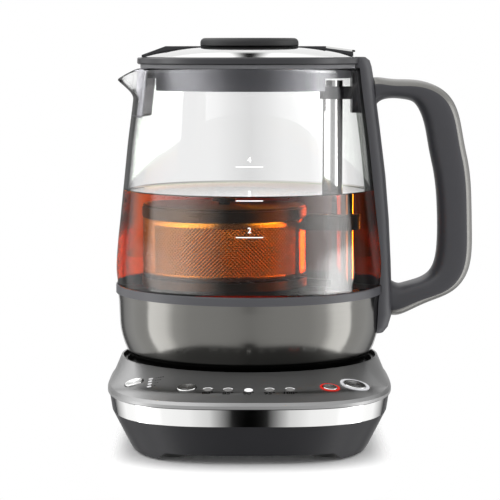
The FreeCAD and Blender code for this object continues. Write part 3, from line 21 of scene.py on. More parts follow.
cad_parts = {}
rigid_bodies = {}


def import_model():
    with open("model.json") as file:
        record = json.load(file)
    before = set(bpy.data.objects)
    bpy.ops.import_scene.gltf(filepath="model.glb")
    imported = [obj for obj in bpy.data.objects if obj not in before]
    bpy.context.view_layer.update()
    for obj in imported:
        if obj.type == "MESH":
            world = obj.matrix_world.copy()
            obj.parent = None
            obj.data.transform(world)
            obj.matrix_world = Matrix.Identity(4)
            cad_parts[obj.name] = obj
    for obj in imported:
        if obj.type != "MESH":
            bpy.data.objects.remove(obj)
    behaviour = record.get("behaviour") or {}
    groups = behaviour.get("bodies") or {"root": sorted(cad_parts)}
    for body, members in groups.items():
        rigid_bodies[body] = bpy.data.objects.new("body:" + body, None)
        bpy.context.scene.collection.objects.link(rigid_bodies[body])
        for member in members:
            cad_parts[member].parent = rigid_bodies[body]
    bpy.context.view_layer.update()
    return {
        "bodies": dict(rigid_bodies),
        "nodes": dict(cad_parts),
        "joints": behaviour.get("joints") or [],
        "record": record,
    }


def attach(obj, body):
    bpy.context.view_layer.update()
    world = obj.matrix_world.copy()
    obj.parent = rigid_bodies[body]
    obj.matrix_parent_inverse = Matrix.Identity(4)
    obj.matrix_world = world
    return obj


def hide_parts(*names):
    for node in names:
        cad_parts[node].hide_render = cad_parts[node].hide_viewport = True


LOG = logging.getLogger("tea_maker")
MM = 0.001

Point = tuple[float, float, float]
Face = tuple[int, ...]
Outline = tuple[list[Point], list[Face]]
Colour = tuple[float, float, float, float]
Range = tuple[float, float]
Stations = tuple[Range, ...]
Value = float | bpy.types.NodeSocket

WHITE = (1.0, 1.0, 1.0, 1.0)
MIX_FIRST, MIX_SECOND, MIX_RESULT = 6, 7, 2     # sockets of a mix node that are for colours
HOLE_SIDES = 8              # corners of a drilled hole, twice the four sides of its cell
FIGURE_SHARE = 0.7          # a figure's height against its type size
INK_SPREAD = 0.025          # how far printed ink spreads, against a figure's height


# ------------------------------------------------------------------ small helpers
def linear(colour: str, alpha: float = 1.0) -> Colour:
    """Turn an sRGB hex colour into linear light.

    Args:
        colour: a colour such as "#3e3e41".
        alpha: the alpha to hand back with it.

    Returns:
        Linear red, green and blue, and the alpha.
    """
    channels = [int(colour[i:i + 2], 16) / 255 for i in (1, 3, 5)]
    light = [c / 12.92 if c <= 0.04045 else ((c + 0.055) / 1.055) ** 2.4 for c in channels]
    return light[0], light[1], light[2], alpha


def add_node(tree: bpy.types.NodeTree, kind: str, values: dict[str | int, object] | None = None,
             links: dict[str | int, bpy.types.NodeSocket] | None = None, **settings: object,
             ) -> bpy.types.Node:
    """Add a node to a tree.

    Args:
        tree: the tree it goes into.
        kind: the node's type name.
        values: what each unlinked input is set to, by name or number.
        links: the output socket that feeds each linked input, by name or number.
        **settings: the node's own properties.

    Returns:
        The new node.
    """
    node = tree.nodes.new(kind)
    for name, value in settings.items():
        setattr(node, name, value)
    for key, value in (values or {}).items():
        node.inputs[key].default_value = value
    for key, source in (links or {}).items():
        tree.links.new(source, node.inputs[key])
    return node


def calculate(tree: bpy.types.NodeTree, operation: str, *values: Value) -> bpy.types.NodeSocket:
    """Add a calculation.

    Args:
        tree: the tree it goes into.
        operation: the kind of calculation.
        *values: what it works on, each a number or an output socket.

    Returns:
        The result's socket.
    """
    node = add_node(tree, "ShaderNodeMath", operation=operation)
    for k, value in enumerate(values):
        if isinstance(value, bpy.types.NodeSocket):
            tree.links.new(value, node.inputs[k])
        else:
            node.inputs[k].default_value = value
    return node.outputs[0]


def blend(tree: bpy.types.NodeTree, factor: bpy.types.NodeSocket, first: Value, second: Value,
          ) -> bpy.types.NodeSocket:
    """Go from a first value to a second.

    Args:
        tree: the tree it goes into.
        factor: 0 for the first value, 1 for the second.
        first: the first value.
        second: the second value.

    Returns:
        The result's socket.
    """
    rest = calculate(tree, "SUBTRACT", 1.0, factor)
    return calculate(tree, "ADD", calculate(tree, "MULTIPLY", rest, first),
                     calculate(tree, "MULTIPLY", factor, second))


def remap(tree: bpy.types.NodeTree, value: bpy.types.NodeSocket, source: Range, target: Range = (0.0, 1.0),
          ) -> bpy.types.NodeSocket:
    """Carry a value smoothly from one range to another, held at both ends.

    Args:
        tree: the tree it goes into.
        value: the value.
        source: the range that it comes from.
        target: the range that it goes to.

    Returns:
        The result's socket.
    """
    node = add_node(tree, "ShaderNodeMapRange", {"From Min": source[0], "From Max": source[1],
                                                 "To Min": target[0], "To Max": target[1]},
                    {"Value": value}, interpolation_type="SMOOTHSTEP")
    return node.outputs["Result"]


def smoothstep(value: float, low: float, high: float) -> float:
    """Rise smoothly from 0 at low to 1 at high."""
    share = min(max((value - low) / (high - low), 0.0), 1.0)
    return share * share * (3 - 2 * share)


def along(value: float, stations: Stations) -> float:
    """Read a smooth curve through stations at a value.

    Args:
        value: where to read it.
        stations: rising (place, height) pairs.

    Returns:
        The height of the Catmull-Rom curve there.
    """
    last = len(stations) - 1
    i = max(0, min(last - 1, sum(1 for place, _ in stations if place <= value) - 1))
    (x0, y0), (x1, y1) = stations[i], stations[i + 1]

    def slope(k: int) -> float:
        """Return the curve's slope at a station."""
        a, b = stations[max(k - 1, 0)], stations[min(k + 1, last)]
        return (b[1] - a[1]) / (b[0] - a[0])

    run = x1 - x0
    t = min(max((value - x0) / run, 0.0), 1.0)
    start = (2 * t ** 3 - 3 * t ** 2 + 1) * y0 + (t ** 3 - 2 * t ** 2 + t) * run * slope(i)
    end = (3 * t ** 2 - 2 * t ** 3) * y1 + (t ** 3 - t ** 2) * run * slope(i + 1)
    return start + end


# ------------------------------------------------------------------ finishes
class Brushing(Enum):
    """Which way the brush lines of a metal run."""

    ROUND_JUG = "round the jug's axis"
    ACROSS = "from left to right"
    SPUN = "round the piece's own axis"


class Finish:
    """A finish that builds its material once and hands it out."""

    name: str

    def paint(self, tree: bpy.types.NodeTree, shader: bpy.types.Node) -> None:
        """Set the shader and add what feeds it.

        Args:
            tree: the material's tree.
            shader: its shader.
        """
        raise NotImplementedError

    def material(self) -> bpy.types.Material:
        """Build the finish's material the first time it is asked for.

        Returns:
            The material.
        """
        made = bpy.data.materials.get(self.name)
        if made is not None:
            return made
        made = bpy.data.materials.new(self.name)
        made.use_nodes = True
        tree = made.node_tree
        tree.nodes.clear()
        shader = add_node(tree, "ShaderNodeBsdfPrincipled")
        add_node(tree, "ShaderNodeOutputMaterial", links={"Surface": shader.outputs["BSDF"]})
        self.paint(tree, shader)
        return made


def object_place(tree: bpy.types.NodeTree) -> bpy.types.NodeSocket:
    """Return the socket that gives a point's place on its object, in metres."""
    return add_node(tree, "ShaderNodeTexCoord").outputs["Object"]


def two_tone(tree: bpy.types.NodeTree, factor: bpy.types.NodeSocket, dark: Colour, light: Colour,
             ) -> bpy.types.NodeSocket:
    """Blend two colours by a factor.

    Args:
        tree: the tree it goes into.
        factor: 0 for dark, 1 for light.
        dark: a linear colour.
        light: a linear colour.

    Returns:
        The blended colour's socket.
    """
    mix = add_node(tree, "ShaderNodeMix", {MIX_FIRST: dark, MIX_SECOND: light}, {0: factor}, data_type="RGBA")
    return mix.outputs[MIX_RESULT]


def shade(colour: str, factor: float) -> Colour:
    """Return a hex colour in linear light, brightened or darkened by a factor."""
    r, g, b, a = linear(colour)
    return r * factor, g * factor, b * factor, a


def vary_gloss(tree: bpy.types.NodeTree, shader: bpy.types.Node, pattern: bpy.types.NodeSocket,
               roughness: float, spread: Range) -> None:
    """Let a pattern raise and lower a shader's roughness.

    Args:
        tree: the material's tree.
        shader: its shader.
        pattern: the pattern, from 0 to 1.
        roughness: the roughness that it goes round.
        spread: the least and the most of it, as shares.
    """
    gloss = add_node(tree, "ShaderNodeMapRange",
                     {"To Min": roughness * spread[0], "To Max": roughness * spread[1]}, {"Value": pattern})
    tree.links.new(gloss.outputs["Result"], shader.inputs["Roughness"])


def fill_clear(tree: bpy.types.NodeTree, shader: bpy.types.Node, colour: str, density: float,
               ior: float) -> None:
    """Make a clear solid that colours the light on its way through.

    Args:
        tree: the material's tree.
        shader: its shader.
        colour: the colour that it keeps.
        density: how much of the rest it takes, per metre.
        ior: how strongly it bends light.
    """
    shader.inputs["Base Color"].default_value = WHITE
    shader.inputs["Transmission Weight"].default_value = 1.0
    shader.inputs["Roughness"].default_value = 0.0
    shader.inputs["IOR"].default_value = ior
    take = add_node(tree, "ShaderNodeVolumeAbsorption", {"Color": linear(colour), "Density": density})
    out = next(node for node in tree.nodes if node.type == "OUTPUT_MATERIAL")
    tree.links.new(take.outputs["Volume"], out.inputs["Volume"])


@dataclass(frozen=True)
class MouldedPlastic(Finish):
    """Injection-moulded plastic: an even colour under a fine spark-eroded grain."""

    name: str
    colour: str
    roughness: float
    grain_mm: float = 0.6       # real grain is about 0.1 mm; drawn this coarse so that it shows
    relief_mm: float = 0.006
    flow_mm: float = 18.0       # size of the patches that the flow of the melt leaves
    specular: float = 0.5       # a textured mould mirrors less than a polished one
    ior: float = 1.5

    def paint(self, tree: bpy.types.NodeTree, shader: bpy.types.Node) -> None:
        """Set the plastic's colour, grain and slightly uneven gloss.

        Args:
            tree: the material's tree.
            shader: its shader.
        """
        place = object_place(tree)
        grain = add_node(tree, "ShaderNodeTexNoise", {"Scale": 1 / (self.grain_mm * MM), "Detail": 2.0},
                         {"Vector": place})
        flow = add_node(tree, "ShaderNodeTexNoise", {"Scale": 1 / (self.flow_mm * MM), "Detail": 3.0},
                        {"Vector": place})
        bump = add_node(tree, "ShaderNodeBump", {"Strength": 0.5, "Distance": self.relief_mm * MM},
                        {"Height": grain.outputs["Fac"]})
        colour = two_tone(tree, flow.outputs["Fac"], shade(self.colour, 0.94), shade(self.colour, 1.06))
        tree.links.new(colour, shader.inputs["Base Color"])
        vary_gloss(tree, shader, flow.outputs["Fac"], self.roughness, (0.9, 1.1))
        tree.links.new(bump.outputs["Normal"], shader.inputs["Normal"])
        shader.inputs["IOR"].default_value = self.ior
        shader.inputs["Specular IOR Level"].default_value = self.specular


@dataclass(frozen=True)
class SatinLacquer(Finish):
    """Metallic lacquer on a moulded part: fine flakes under a soft clear coat."""

    name: str
    colour: str
    roughness: float
    metallic: float = 0.6
    flake_mm: float = 0.5       # real flakes are about 0.03 mm; drawn this coarse so that they show

    def paint(self, tree: bpy.types.NodeTree, shader: bpy.types.Node) -> None:
        """Set the lacquer's flakes, base and coat.

        Args:
            tree: the material's tree.
            shader: its shader.
        """
        place = object_place(tree)
        flakes = add_node(tree, "ShaderNodeTexVoronoi", {"Scale": 1 / (self.flake_mm * MM)},
                          {"Vector": place})
        colour = two_tone(tree, flakes.outputs["Distance"], shade(self.colour, 1.08), shade(self.colour, 0.9))
        tree.links.new(colour, shader.inputs["Base Color"])
        shader.inputs["Metallic"].default_value = self.metallic
        shader.inputs["Roughness"].default_value = self.roughness
        shader.inputs["Coat Weight"].default_value = 0.25
        shader.inputs["Coat Roughness"].default_value = 0.25


@dataclass(frozen=True)
class BrushedSteel(Finish):
    """Stainless steel sheet with fine brush lines, which streak its reflections along them."""

    name: str
    colour: str
    roughness: float
    brushing: Brushing = Brushing.ROUND_JUG
    line_mm: float = 0.7        # real lines are about 0.1 mm apart; drawn this wide so that they show
    run_mm: float = 40.0
    relief_mm: float = 0.004
    contrast: float = 0.05
    anisotropy: float = 0.75    # how far reflections are drawn out along the lines
    girth_mm: float = 70.0      # radius at which a line round the jug is as long as run_mm says

    def lines(self, tree: bpy.types.NodeTree) -> bpy.types.NodeSocket:
        """Draw the brush lines.

        Args:
            tree: the material's tree.

        Returns:
            A socket with values round one half.
        """
        split = add_node(tree, "ShaderNodeSeparateXYZ", links={"Vector": object_place(tree)})
        x, y, z = split.outputs
        fine = 1 / (self.line_mm * MM)
        if self.brushing is Brushing.ACROSS:
            run, across, depth = x, y, z
            scale = (1 / (self.run_mm * MM), fine, fine)
        else:
            run = calculate(tree, "ARCTAN2", y, x)
            flat = add_node(tree, "ShaderNodeCombineXYZ", links={"X": x, "Y": y})
            depth = add_node(tree, "ShaderNodeVectorMath", links={0: flat.outputs[0]},
                             operation="LENGTH").outputs["Value"]
            across = z
            turns = self.girth_mm / self.run_mm if self.brushing is Brushing.ROUND_JUG else 1.0
            scale = (turns, fine, fine)
        joined = add_node(tree, "ShaderNodeCombineXYZ", links={"X": run, "Y": across, "Z": depth})
        sized = add_node(tree, "ShaderNodeVectorMath", {1: scale}, {0: joined.outputs[0]},
                         operation="MULTIPLY")
        noise = add_node(tree, "ShaderNodeTexNoise", {"Scale": 1.0, "Detail": 4.0, "Roughness": 0.7},
                         {"Vector": sized.outputs[0]})
        return noise.outputs["Fac"]

    def paint(self, tree: bpy.types.NodeTree, shader: bpy.types.Node) -> None:
        """Set the steel's colour, streaked gloss and brush relief.

        Args:
            tree: the material's tree.
            shader: its shader.
        """
        lines = self.lines(tree)
        colour = two_tone(tree, lines, shade(self.colour, 1 - self.contrast),
                          shade(self.colour, 1 + self.contrast))
        bump = add_node(tree, "ShaderNodeBump", {"Strength": 0.25, "Distance": self.relief_mm * MM},
                        {"Height": lines})
        tree.links.new(colour, shader.inputs["Base Color"])
        vary_gloss(tree, shader, lines, self.roughness, (0.8, 1.2))
        tree.links.new(bump.outputs["Normal"], shader.inputs["Normal"])
        shader.inputs["Metallic"].default_value = 1.0
        shader.inputs["Anisotropic"].default_value = self.anisotropy
        shader.inputs["Anisotropic Rotation"].default_value = 0.25
        axis = "Y" if self.brushing is Brushing.ACROSS else "Z"
        tangent = add_node(tree, "ShaderNodeTangent", direction_type="RADIAL", axis=axis)
        tree.links.new(tangent.outputs["Tangent"], shader.inputs["Tangent"])


@dataclass(frozen=True)
class PolishedMetal(Finish):
    """Polished metal: clear reflections with a faint haze from handling."""

    name: str
    colour: str
    roughness: float
    haze_mm: float = 25.0       # size of the hazy patches

    def paint(self, tree: bpy.types.NodeTree, shader: bpy.types.Node) -> None:
        """Set the metal's colour and its faint haze.

        Args:
            tree: the material's tree.
            shader: its shader.
        """
        haze = add_node(tree, "ShaderNodeTexNoise", {"Scale": 1 / (self.haze_mm * MM), "Detail": 5.0},
                        {"Vector": object_place(tree)})
        vary_gloss(tree, shader, haze.outputs["Fac"], self.roughness, (0.7, 1.4))
        shader.inputs["Base Color"].default_value = linear(self.colour)
        shader.inputs["Metallic"].default_value = 1.0


@dataclass(frozen=True)
class SiliconeRubber(Finish):
    """Moulded silicone or rubber: matt, with a soft bloom at grazing angles."""

    name: str
    colour: str
    roughness: float = 0.65
    dust_mm: float = 1.5        # size of the specks of dust
    ior: float = 1.41

    def paint(self, tree: bpy.types.NodeTree, shader: bpy.types.Node) -> None:
        """Set the rubber's colour, bloom and fine dusting.

        Args:
            tree: the material's tree.
            shader: its shader.
        """
        dust = add_node(tree, "ShaderNodeTexNoise", {"Scale": 1 / (self.dust_mm * MM), "Detail": 3.0},
                        {"Vector": object_place(tree)})
        colour = two_tone(tree, dust.outputs["Fac"], shade(self.colour, 0.9), shade(self.colour, 1.15))
        tree.links.new(colour, shader.inputs["Base Color"])
        shader.inputs["Roughness"].default_value = self.roughness
        shader.inputs["Sheen Weight"].default_value = 0.1
        shader.inputs["IOR"].default_value = self.ior


@dataclass(frozen=True)
class BlownGlass(Finish):
    """Borosilicate glass: clear and fire-polished, faintly grey where it is looked at edge on."""

    name: str
    grey: str = "#b9c0c2"
    density: float = 6.0        # of the grey, per metre of glass
    ior: float = 1.47

    def paint(self, tree: bpy.types.NodeTree, shader: bpy.types.Node) -> None:
        """Set the glass and what it takes from light that runs along its wall.

        Args:
            tree: the material's tree.
            shader: its shader.
        """
        fill_clear(tree, shader, self.grey, self.density, self.ior)


@dataclass(frozen=True)
class BrewedTea(Finish):
    """Black tea: a clear liquid that keeps red and orange light."""

    name: str
    colour: str
    density: float              # per metre of tea
    ior: float = 1.12           # water has 1.33; less here, because its skin lies inside the glass

    def paint(self, tree: bpy.types.NodeTree, shader: bpy.types.Node) -> None:
        """Set the liquid's surface and what it takes from light on its way.

        Args:
            tree: the material's tree.
            shader: its shader.
        """
        fill_clear(tree, shader, self.colour, self.density, self.ior)


@dataclass(frozen=True)
class PaperSweep(Finish):
    """Matt white background paper: takes a soft shadow, and runs out into the white behind it."""

    name: str
    colour: str
    reach: Range = (62.0 * MM, 145.0 * MM)      # how far to the side and forward it covers
    centre_y: float = -20.0 * MM
    squareness: float = 4.0     # 2 covers an ellipse, more a rounder rectangle
    gone: float = 2.4           # where it has run out, against 1 at its reach

    def paint(self, tree: bpy.types.NodeTree, shader: bpy.types.Node) -> None:
        """Set the paper's colour and how it runs out; polished metal doesn't mirror it.

        Args:
            tree: the material's tree.
            shader: its shader.
        """
        x, y, _ = add_node(tree, "ShaderNodeSeparateXYZ", links={"Vector": object_place(tree)}).outputs
        aside = calculate(tree, "DIVIDE", x, self.reach[0])
        ahead = calculate(tree, "DIVIDE", calculate(tree, "SUBTRACT", y, self.centre_y), self.reach[1])
        far = calculate(tree, "ADD",
                        calculate(tree, "POWER", calculate(tree, "ABSOLUTE", aside), self.squareness),
                        calculate(tree, "POWER", calculate(tree, "ABSOLUTE", ahead), self.squareness))
        cover = remap(tree, far, (1.0, self.gone), (1.0, 0.0))
        glossy = add_node(tree, "ShaderNodeLightPath").outputs["Is Glossy Ray"]
        tree.links.new(blend(tree, glossy, cover, 0.0), shader.inputs["Alpha"])
        shader.inputs["Base Color"].default_value = linear(self.colour)
        shader.inputs["Roughness"].default_value = 0.9
        shader.inputs["Specular IOR Level"].default_value = 0.1


@dataclass(frozen=True)
class FrostedAcrylic(Finish):
    """Light pipe or ring of frosted acrylic, lit where its lamp is on."""

    name: str
    colour: str
    glow: float = 0.0
    lit_half_width: float = 0.0     # only what lies this near to the middle is lit; 0 lights all of it
    frost_mm: float = 0.4           # grain of the frosting
    ior: float = 1.49

    def paint(self, tree: bpy.types.NodeTree, shader: bpy.types.Node) -> None:
        """Set the acrylic's colour and its light.

        Args:
            tree: the material's tree.
            shader: its shader.
        """
        place = object_place(tree)
        frost = add_node(tree, "ShaderNodeTexNoise", {"Scale": 1 / (self.frost_mm * MM), "Detail": 2.0},
                         {"Vector": place})
        colour = two_tone(tree, frost.outputs["Fac"], shade(self.colour, 0.92), linear(self.colour))
        tree.links.new(colour, shader.inputs["Base Color"])
        shader.inputs["Roughness"].default_value = 0.35
        shader.inputs["IOR"].default_value = self.ior
        shader.inputs["Emission Color"].default_value = linear(self.colour)
        shader.inputs["Emission Strength"].default_value = self.glow
        if self.lit_half_width:
            x = add_node(tree, "ShaderNodeSeparateXYZ", links={"Vector": place}).outputs["X"]
            near = calculate(tree, "LESS_THAN", calculate(tree, "ABSOLUTE", x), self.lit_half_width)
            tree.links.new(calculate(tree, "MULTIPLY", near, self.glow), shader.inputs["Emission Strength"])
            shader.inputs["Emission Color"].default_value = WHITE


@dataclass(frozen=True)
class ScreenPrint(Finish):
    """Fired or screen-printed ink: flat, opaque and slightly uneven."""

    name: str
    colour: str
    # Painted light: a glow makes the ink shine, though ink gives no light.
    glow: float = 0.0
    specular: float = 0.5       # how strongly the ink mirrors light
    cover_mm: float = 0.5       # size of the patches where it lies thinner

    def paint(self, tree: bpy.types.NodeTree, shader: bpy.types.Node) -> None:
        """Set the ink's colour, its uneven cover and its painted glow.

        Args:
            tree: the material's tree.
            shader: its shader.
        """
        cover = add_node(tree, "ShaderNodeTexNoise", {"Scale": 1 / (self.cover_mm * MM)},
                         {"Vector": object_place(tree)})
        colour = two_tone(tree, cover.outputs["Fac"], shade(self.colour, 0.9), linear(self.colour))
        tree.links.new(colour, shader.inputs["Base Color"])
        shader.inputs["Roughness"].default_value = 0.5
        shader.inputs["Specular IOR Level"].default_value = self.specular
        shader.inputs["Emission Color"].default_value = linear(self.colour)
        shader.inputs["Emission Strength"].default_value = self.glow


# Plastics. Those from a textured mould look soft and even, the polished one deep and wet.
CHARCOAL_ABS = MouldedPlastic("abs_charcoal_moulded", "#1c1c1f", 0.38, specular=0.18)
BLACK_ABS_GLOSS = MouldedPlastic("abs_black_polished_mould", "#0b0b0c", 0.25, relief_mm=0.002, specular=0.15)
# Polypropylene is a little waxy, so its highlights are broad and weak.
BLACK_POLYPROPYLENE = MouldedPlastic("polypropylene_black_moulded", "#1a1a1b", 0.5)
# Nylon with glass fibre: dark and dry, with a soft light on its edges.
GREY_NYLON = MouldedPlastic("nylon_dark_grey_moulded", "#444448", 0.4)
HANDLE_NYLON = MouldedPlastic("nylon_handle_grey_moulded", "#3c3c40", 0.42, specular=0.4)
RIM_NYLON = MouldedPlastic("nylon_rim_grey_moulded", "#28282b", 0.3, specular=0.4)
KNOB_NYLON = MouldedPlastic("nylon_charcoal_soft_moulded", "#1e1e1f", 0.5, specular=0.35)
# Unfilled nylon lets some light through, so the strainer looks pale and chalky.
STRAINER_NYLON = MouldedPlastic("nylon_mesh_grey_moulded", "#d0cfd5", 0.45)
# Lacquers: a soft metallic sheen that rolls over the edges.
SKIRT_LACQUER = SatinLacquer("polypropylene_silver_lacquered", "#5c5c60", 0.28, metallic=0.5)
# Painted highlight in part: the handle's outer shell is lighter than its grip, for the highlight on its edge.
HANDLE_HIGHLIGHT_LACQUER = SatinLacquer("nylon_lacquer_painted_highlight", "#6f6e6b", 0.33, metallic=0.65)
# Smoked stainless steel: warm grey, its reflections drawn into tall streaks or laid across.
SMOKED_SHELL = BrushedSteel("stainless_smoked_brushed", "#6b6a67", 0.16)
SMOKED_DECK = BrushedSteel("stainless_smoked_deck_brushed", "#909090", 0.34, Brushing.ACROSS)
# Polished stainless steel mirrors the studio almost sharply.
BAND_STEEL = PolishedMetal("stainless_polished_band", "#e3e3e2", 0.04)
DOME_STEEL = PolishedMetal("stainless_polished_dome", "#dcdcdb", 0.07)
POST_STEEL = PolishedMetal("stainless_polished_tube", "#e0e0df", 0.06)
# Satin stainless steel of the basket: bright and soft, and it takes on the colour of the tea.
BASKET_STEEL = BrushedSteel("stainless_satin_basket", "#d6d3cc", 0.26, contrast=0.03)
# Painted shade: the inner side of the basket's wall and the edges of its holes are dark brown.
BASKET_INNER_SHADE = BrushedSteel("stainless_basket_painted_inner_shade", "#2c1409", 0.4, contrast=0.03)
# Painted shade: the rims and the basket's lid are painted dark too, so that they frame the bright wall.
RIM_SHADE_STEEL = BrushedSteel("stainless_basket_rim_painted_shade", "#46433f", 0.4, contrast=0.03)
FLOOR_STEEL = BrushedSteel("stainless_satin_floor", "#bdb9b3", 0.35, Brushing.ACROSS)
# Chrome on spun faces: a bow tie of light that turns round the middle of each button.
SPUN_CHROME = BrushedSteel("abs_chromed_spun", "#d9d9d8", 0.22, Brushing.SPUN, line_mm=0.35, anisotropy=0.8)
# Small metal parts: dull zinc, grainy aluminium, bright brass.
PLATED_STEEL = PolishedMetal("steel_zinc_plated", "#c3c3c0", 0.3)
CAST_ALUMINIUM = PolishedMetal("aluminium_die_cast", "#b8b8b8", 0.45)
CONTACT_BRASS = PolishedMetal("brass_bright_drawn", "#c9a35a", 0.25)
# Glass-fibre epoxy under green solder mask.
BOARD_EPOXY = MouldedPlastic("epoxy_board_solder_masked", "#12452a", 0.4)
# Rubbers: no clear reflection, only a pale bloom at their edges.
FOOT_RUBBER = SiliconeRubber("rubber_black_moulded", "#161616")
GREY_SILICONE = SiliconeRubber("silicone_grey_moulded", "#7f7f82", 0.45)
# What light goes through: colourless glass with dark edges, and tea that glows orange where it is thin.
JUG_GLASS = BlownGlass("borosilicate_blown")
TEA = BrewedTea("black_tea_brewed", "#edcb46", 96.0)
# Frosted acrylic over the lamps: of the row of five only the middle one is lit.
LAMP_ACRYLIC = FrostedAcrylic("acrylic_frosted_lamps", "#7d7c7b", 0.9, 3 * MM)
STRENGTH_ACRYLIC = FrostedAcrylic("acrylic_frosted_small_lamps", "#d9d9da", 0.1)
RED_ACRYLIC = FrostedAcrylic("acrylic_red_ring", "#c81e12", 0.2)
WHITE_ACRYLIC = FrostedAcrylic("acrylic_white_ring", "#d4d5d8", 0.1)
# Inks: fired enamel stands out bright on the glass by a painted glow; the deck's ink is flat and dark.
GLASS_PRINT_GLOWING = ScreenPrint("enamel_white_fired_painted_glow", "#ffffff", 0.6)
DECK_PRINT = ScreenPrint("ink_charcoal_printed", "#0d0c0b", specular=0.05)
# Painted light: the deck's white ink has a faint painted glow.
DECK_PRINT_WHITE_GLOWING = ScreenPrint("ink_white_printed_painted_glow", "#f0f0ef", 0.2)


# ------------------------------------------------------------------ meshes
def mesh_piece(name: str, vertices: Sequence[Sequence[float]], faces: Sequence[Face], finish: Finish,
               body: str, smooth_below: float = 35.0,
               place: Matrix | None = None) -> bpy.types.Object:
    """Make a piece from vertices and faces and let it ride on a body.

    Args:
        name: the piece's name.
        vertices: its points.
        faces: its faces, as numbers of points.
        finish: what it is finished in.
        body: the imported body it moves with.
        smooth_below: edges sharper than this many degrees stay sharp.
        place: where the piece's own frame lies.

    Returns:
        The new object.
    """
    mesh = bpy.data.meshes.new(name)
    mesh.from_pydata([tuple(v) for v in vertices], [], [tuple(f) for f in faces])
    mesh.validate()
    mesh.polygons.foreach_set("use_smooth", [True] * len(mesh.polygons))
    mesh.set_sharp_from_angle(angle=math.radians(smooth_below))
    mesh.materials.append(finish.material())
    thing = bpy.data.objects.new(name, mesh)
    bpy.context.scene.collection.objects.link(thing)
    if place is not None:
        thing.matrix_world = place
    bpy.context.view_layer.update()
    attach(thing, body)
    LOG.info("%s: %d points, %d faces, on %s", name, len(vertices), len(faces), body)
    return thing


def quads(rows: int, columns: int, close_rows: bool, close_columns: bool) -> list[Face]:
    """List the quads of a grid of points that is numbered row by row.

    Args:
        rows: how many rows it has.
        columns: how many points a row has.
        close_rows: whether the last row joins the first.
        close_columns: whether each row closes on itself.

    Returns:
        The faces, turned outward for a lathe whose rows run from inside over the top.
    """
    faces = []
    for r in range(rows if close_rows else rows - 1):
        for c in range(columns if close_columns else columns - 1):
            s, d = (r + 1) % rows, (c + 1) % columns
            faces.append((r * columns + c, r * columns + d, s * columns + d, s * columns + c))
    return faces


def lathe(profile: Sequence[Range], steps: int) -> Outline:
    """Turn a profile round the upright axis.

    Args:
        profile: (radius, height) points; a radius of 0 at an end closes it there.
        steps: points in a full turn.

    Returns:
        The points and faces of the solid.
    """
    points: list[Point] = []
    rows: list[list[int]] = []
    for radius, height in profile:
        if radius == 0.0:
            rows.append([len(points)])
            points.append((0.0, 0.0, height))
            continue
        rows.append(list(range(len(points), len(points) + steps)))
        for k in range(steps):
            turn = 2 * math.pi * k / steps
            points.append((radius * math.cos(turn), radius * math.sin(turn), height))
    faces: list[Face] = []
    whole = rows if profile[0][0] == 0.0 else rows + rows[:1]
    for low, high in zip(whole, whole[1:]):
        for k in range(steps):
            n = (k + 1) % steps
            if len(low) == 1:
                faces.append((low[0], high[n], high[k]))
            elif len(high) == 1:
                faces.append((low[k], low[n], high[0]))
            else:
                faces.append((low[k], low[n], high[n], high[k]))
    return points, faces


def perforated_wall(pitch: float, hole: float, columns: int, rows: int, low: float, high: float,
                    closed: bool, bend: Callable[[float, float], Point], plain: Callable[[float], bool],
                    ) -> Outline:
    """Lay a sheet of round holes in staggered rows with plain borders, as one layer without thickness.

    Args:
        pitch: distance between neighbouring holes of a row; the rows are half of it apart.
        hole: radius of a hole.
        columns: holes in a row.
        rows: how many rows there are, halfway up the sheet.
        low: lower edge of the sheet.
        high: its upper edge.
        closed: whether the rows close round on themselves.
        bend: where a point of the flat sheet lies, given its way along and up.
        plain: whether the sheet has no holes at a way along.

    Returns:
        The points and faces of the layer.
    """
    half = pitch / 2
    start = (low + high) / 2 - (rows + 1) / 2 * half
    wrap = 2 * columns
    points: list[Point] = []
    corners: dict[tuple[int, int], int] = {}
    faces: list[Face] = []

    def corner(across: int, up: int) -> int:
        """Find a corner of the lattice, and make it when it is first asked for.

        Args:
            across: its place along the row, in half pitches.
            up: its place up the sheet, in rows.

        Returns:
            The number of its point.
        """
        key = (across % wrap, up) if closed else (across, up)
        if key not in corners:
            corners[key] = len(points)
            points.append(bend(across * half, start + up * half))
        return corners[key]

    for up in range(1, rows + 1):
        for column in range(columns):
            across = 2 * column + up % 2
            around = [corner(across + a, up + u) for a, u in ((1, 0), (0, 1), (-1, 0), (0, -1))]
            if plain(across * half):
                faces.append(tuple(around))
                continue
            first = len(points)
            for k in range(HOLE_SIDES):
                turn = 2 * math.pi * k / HOLE_SIDES
                points.append(bend(across * half + hole * math.cos(turn),
                                   start + up * half + hole * math.sin(turn)))
            for k in range(len(around)):
                n = (k + 1) % len(around)
                faces.append((around[k], around[n], first + 2 * n, first + 2 * k + 1, first + 2 * k))
    for level, inner, outer in ((low, 1, 0), (high, rows, rows + 1)):
        edge: dict[int, int] = {}

        def border(across: int) -> tuple[int, int]:
            """Find a point on the sheet's edge, and make it when it is first asked for.

            Args:
                across: its place along the edge, in half pitches.

            Returns:
                The numbers of the point and of the corner that it joins.
            """
            key = across % wrap if closed else across
            if key not in edge:
                edge[key] = len(points)
                points.append(bend(across * half, level))
            return edge[key], corner(across, outer if (across + outer) % 2 else inner)

        begin = -1 if closed else (1 + outer) % 2 - 1
        for k in range(begin, begin + 2 * columns):
            (a, c), (b, d) = border(k), border(k + 1)
            quad = (a, b, d, c)
            faces.append(quad if level == low else quad[::-1])
    return points, faces


def thicken(thing: bpy.types.Object, wall: float) -> None:
    """Give a single-layer sheet its wall, inwards from its outer face.

    Args:
        thing: the sheet.
        wall: its thickness.
    """
    layer = thing.modifiers.new("wall", "SOLIDIFY")
    layer.thickness = wall
    layer.offset = -1.0
    layer.use_even_offset = False
    depsgraph = bpy.context.evaluated_depsgraph_get()
    solid = bpy.data.meshes.new_from_object(thing.evaluated_get(depsgraph))
    thing.modifiers.clear()
    old = thing.data
    thing.data = solid
    bpy.data.meshes.remove(old)


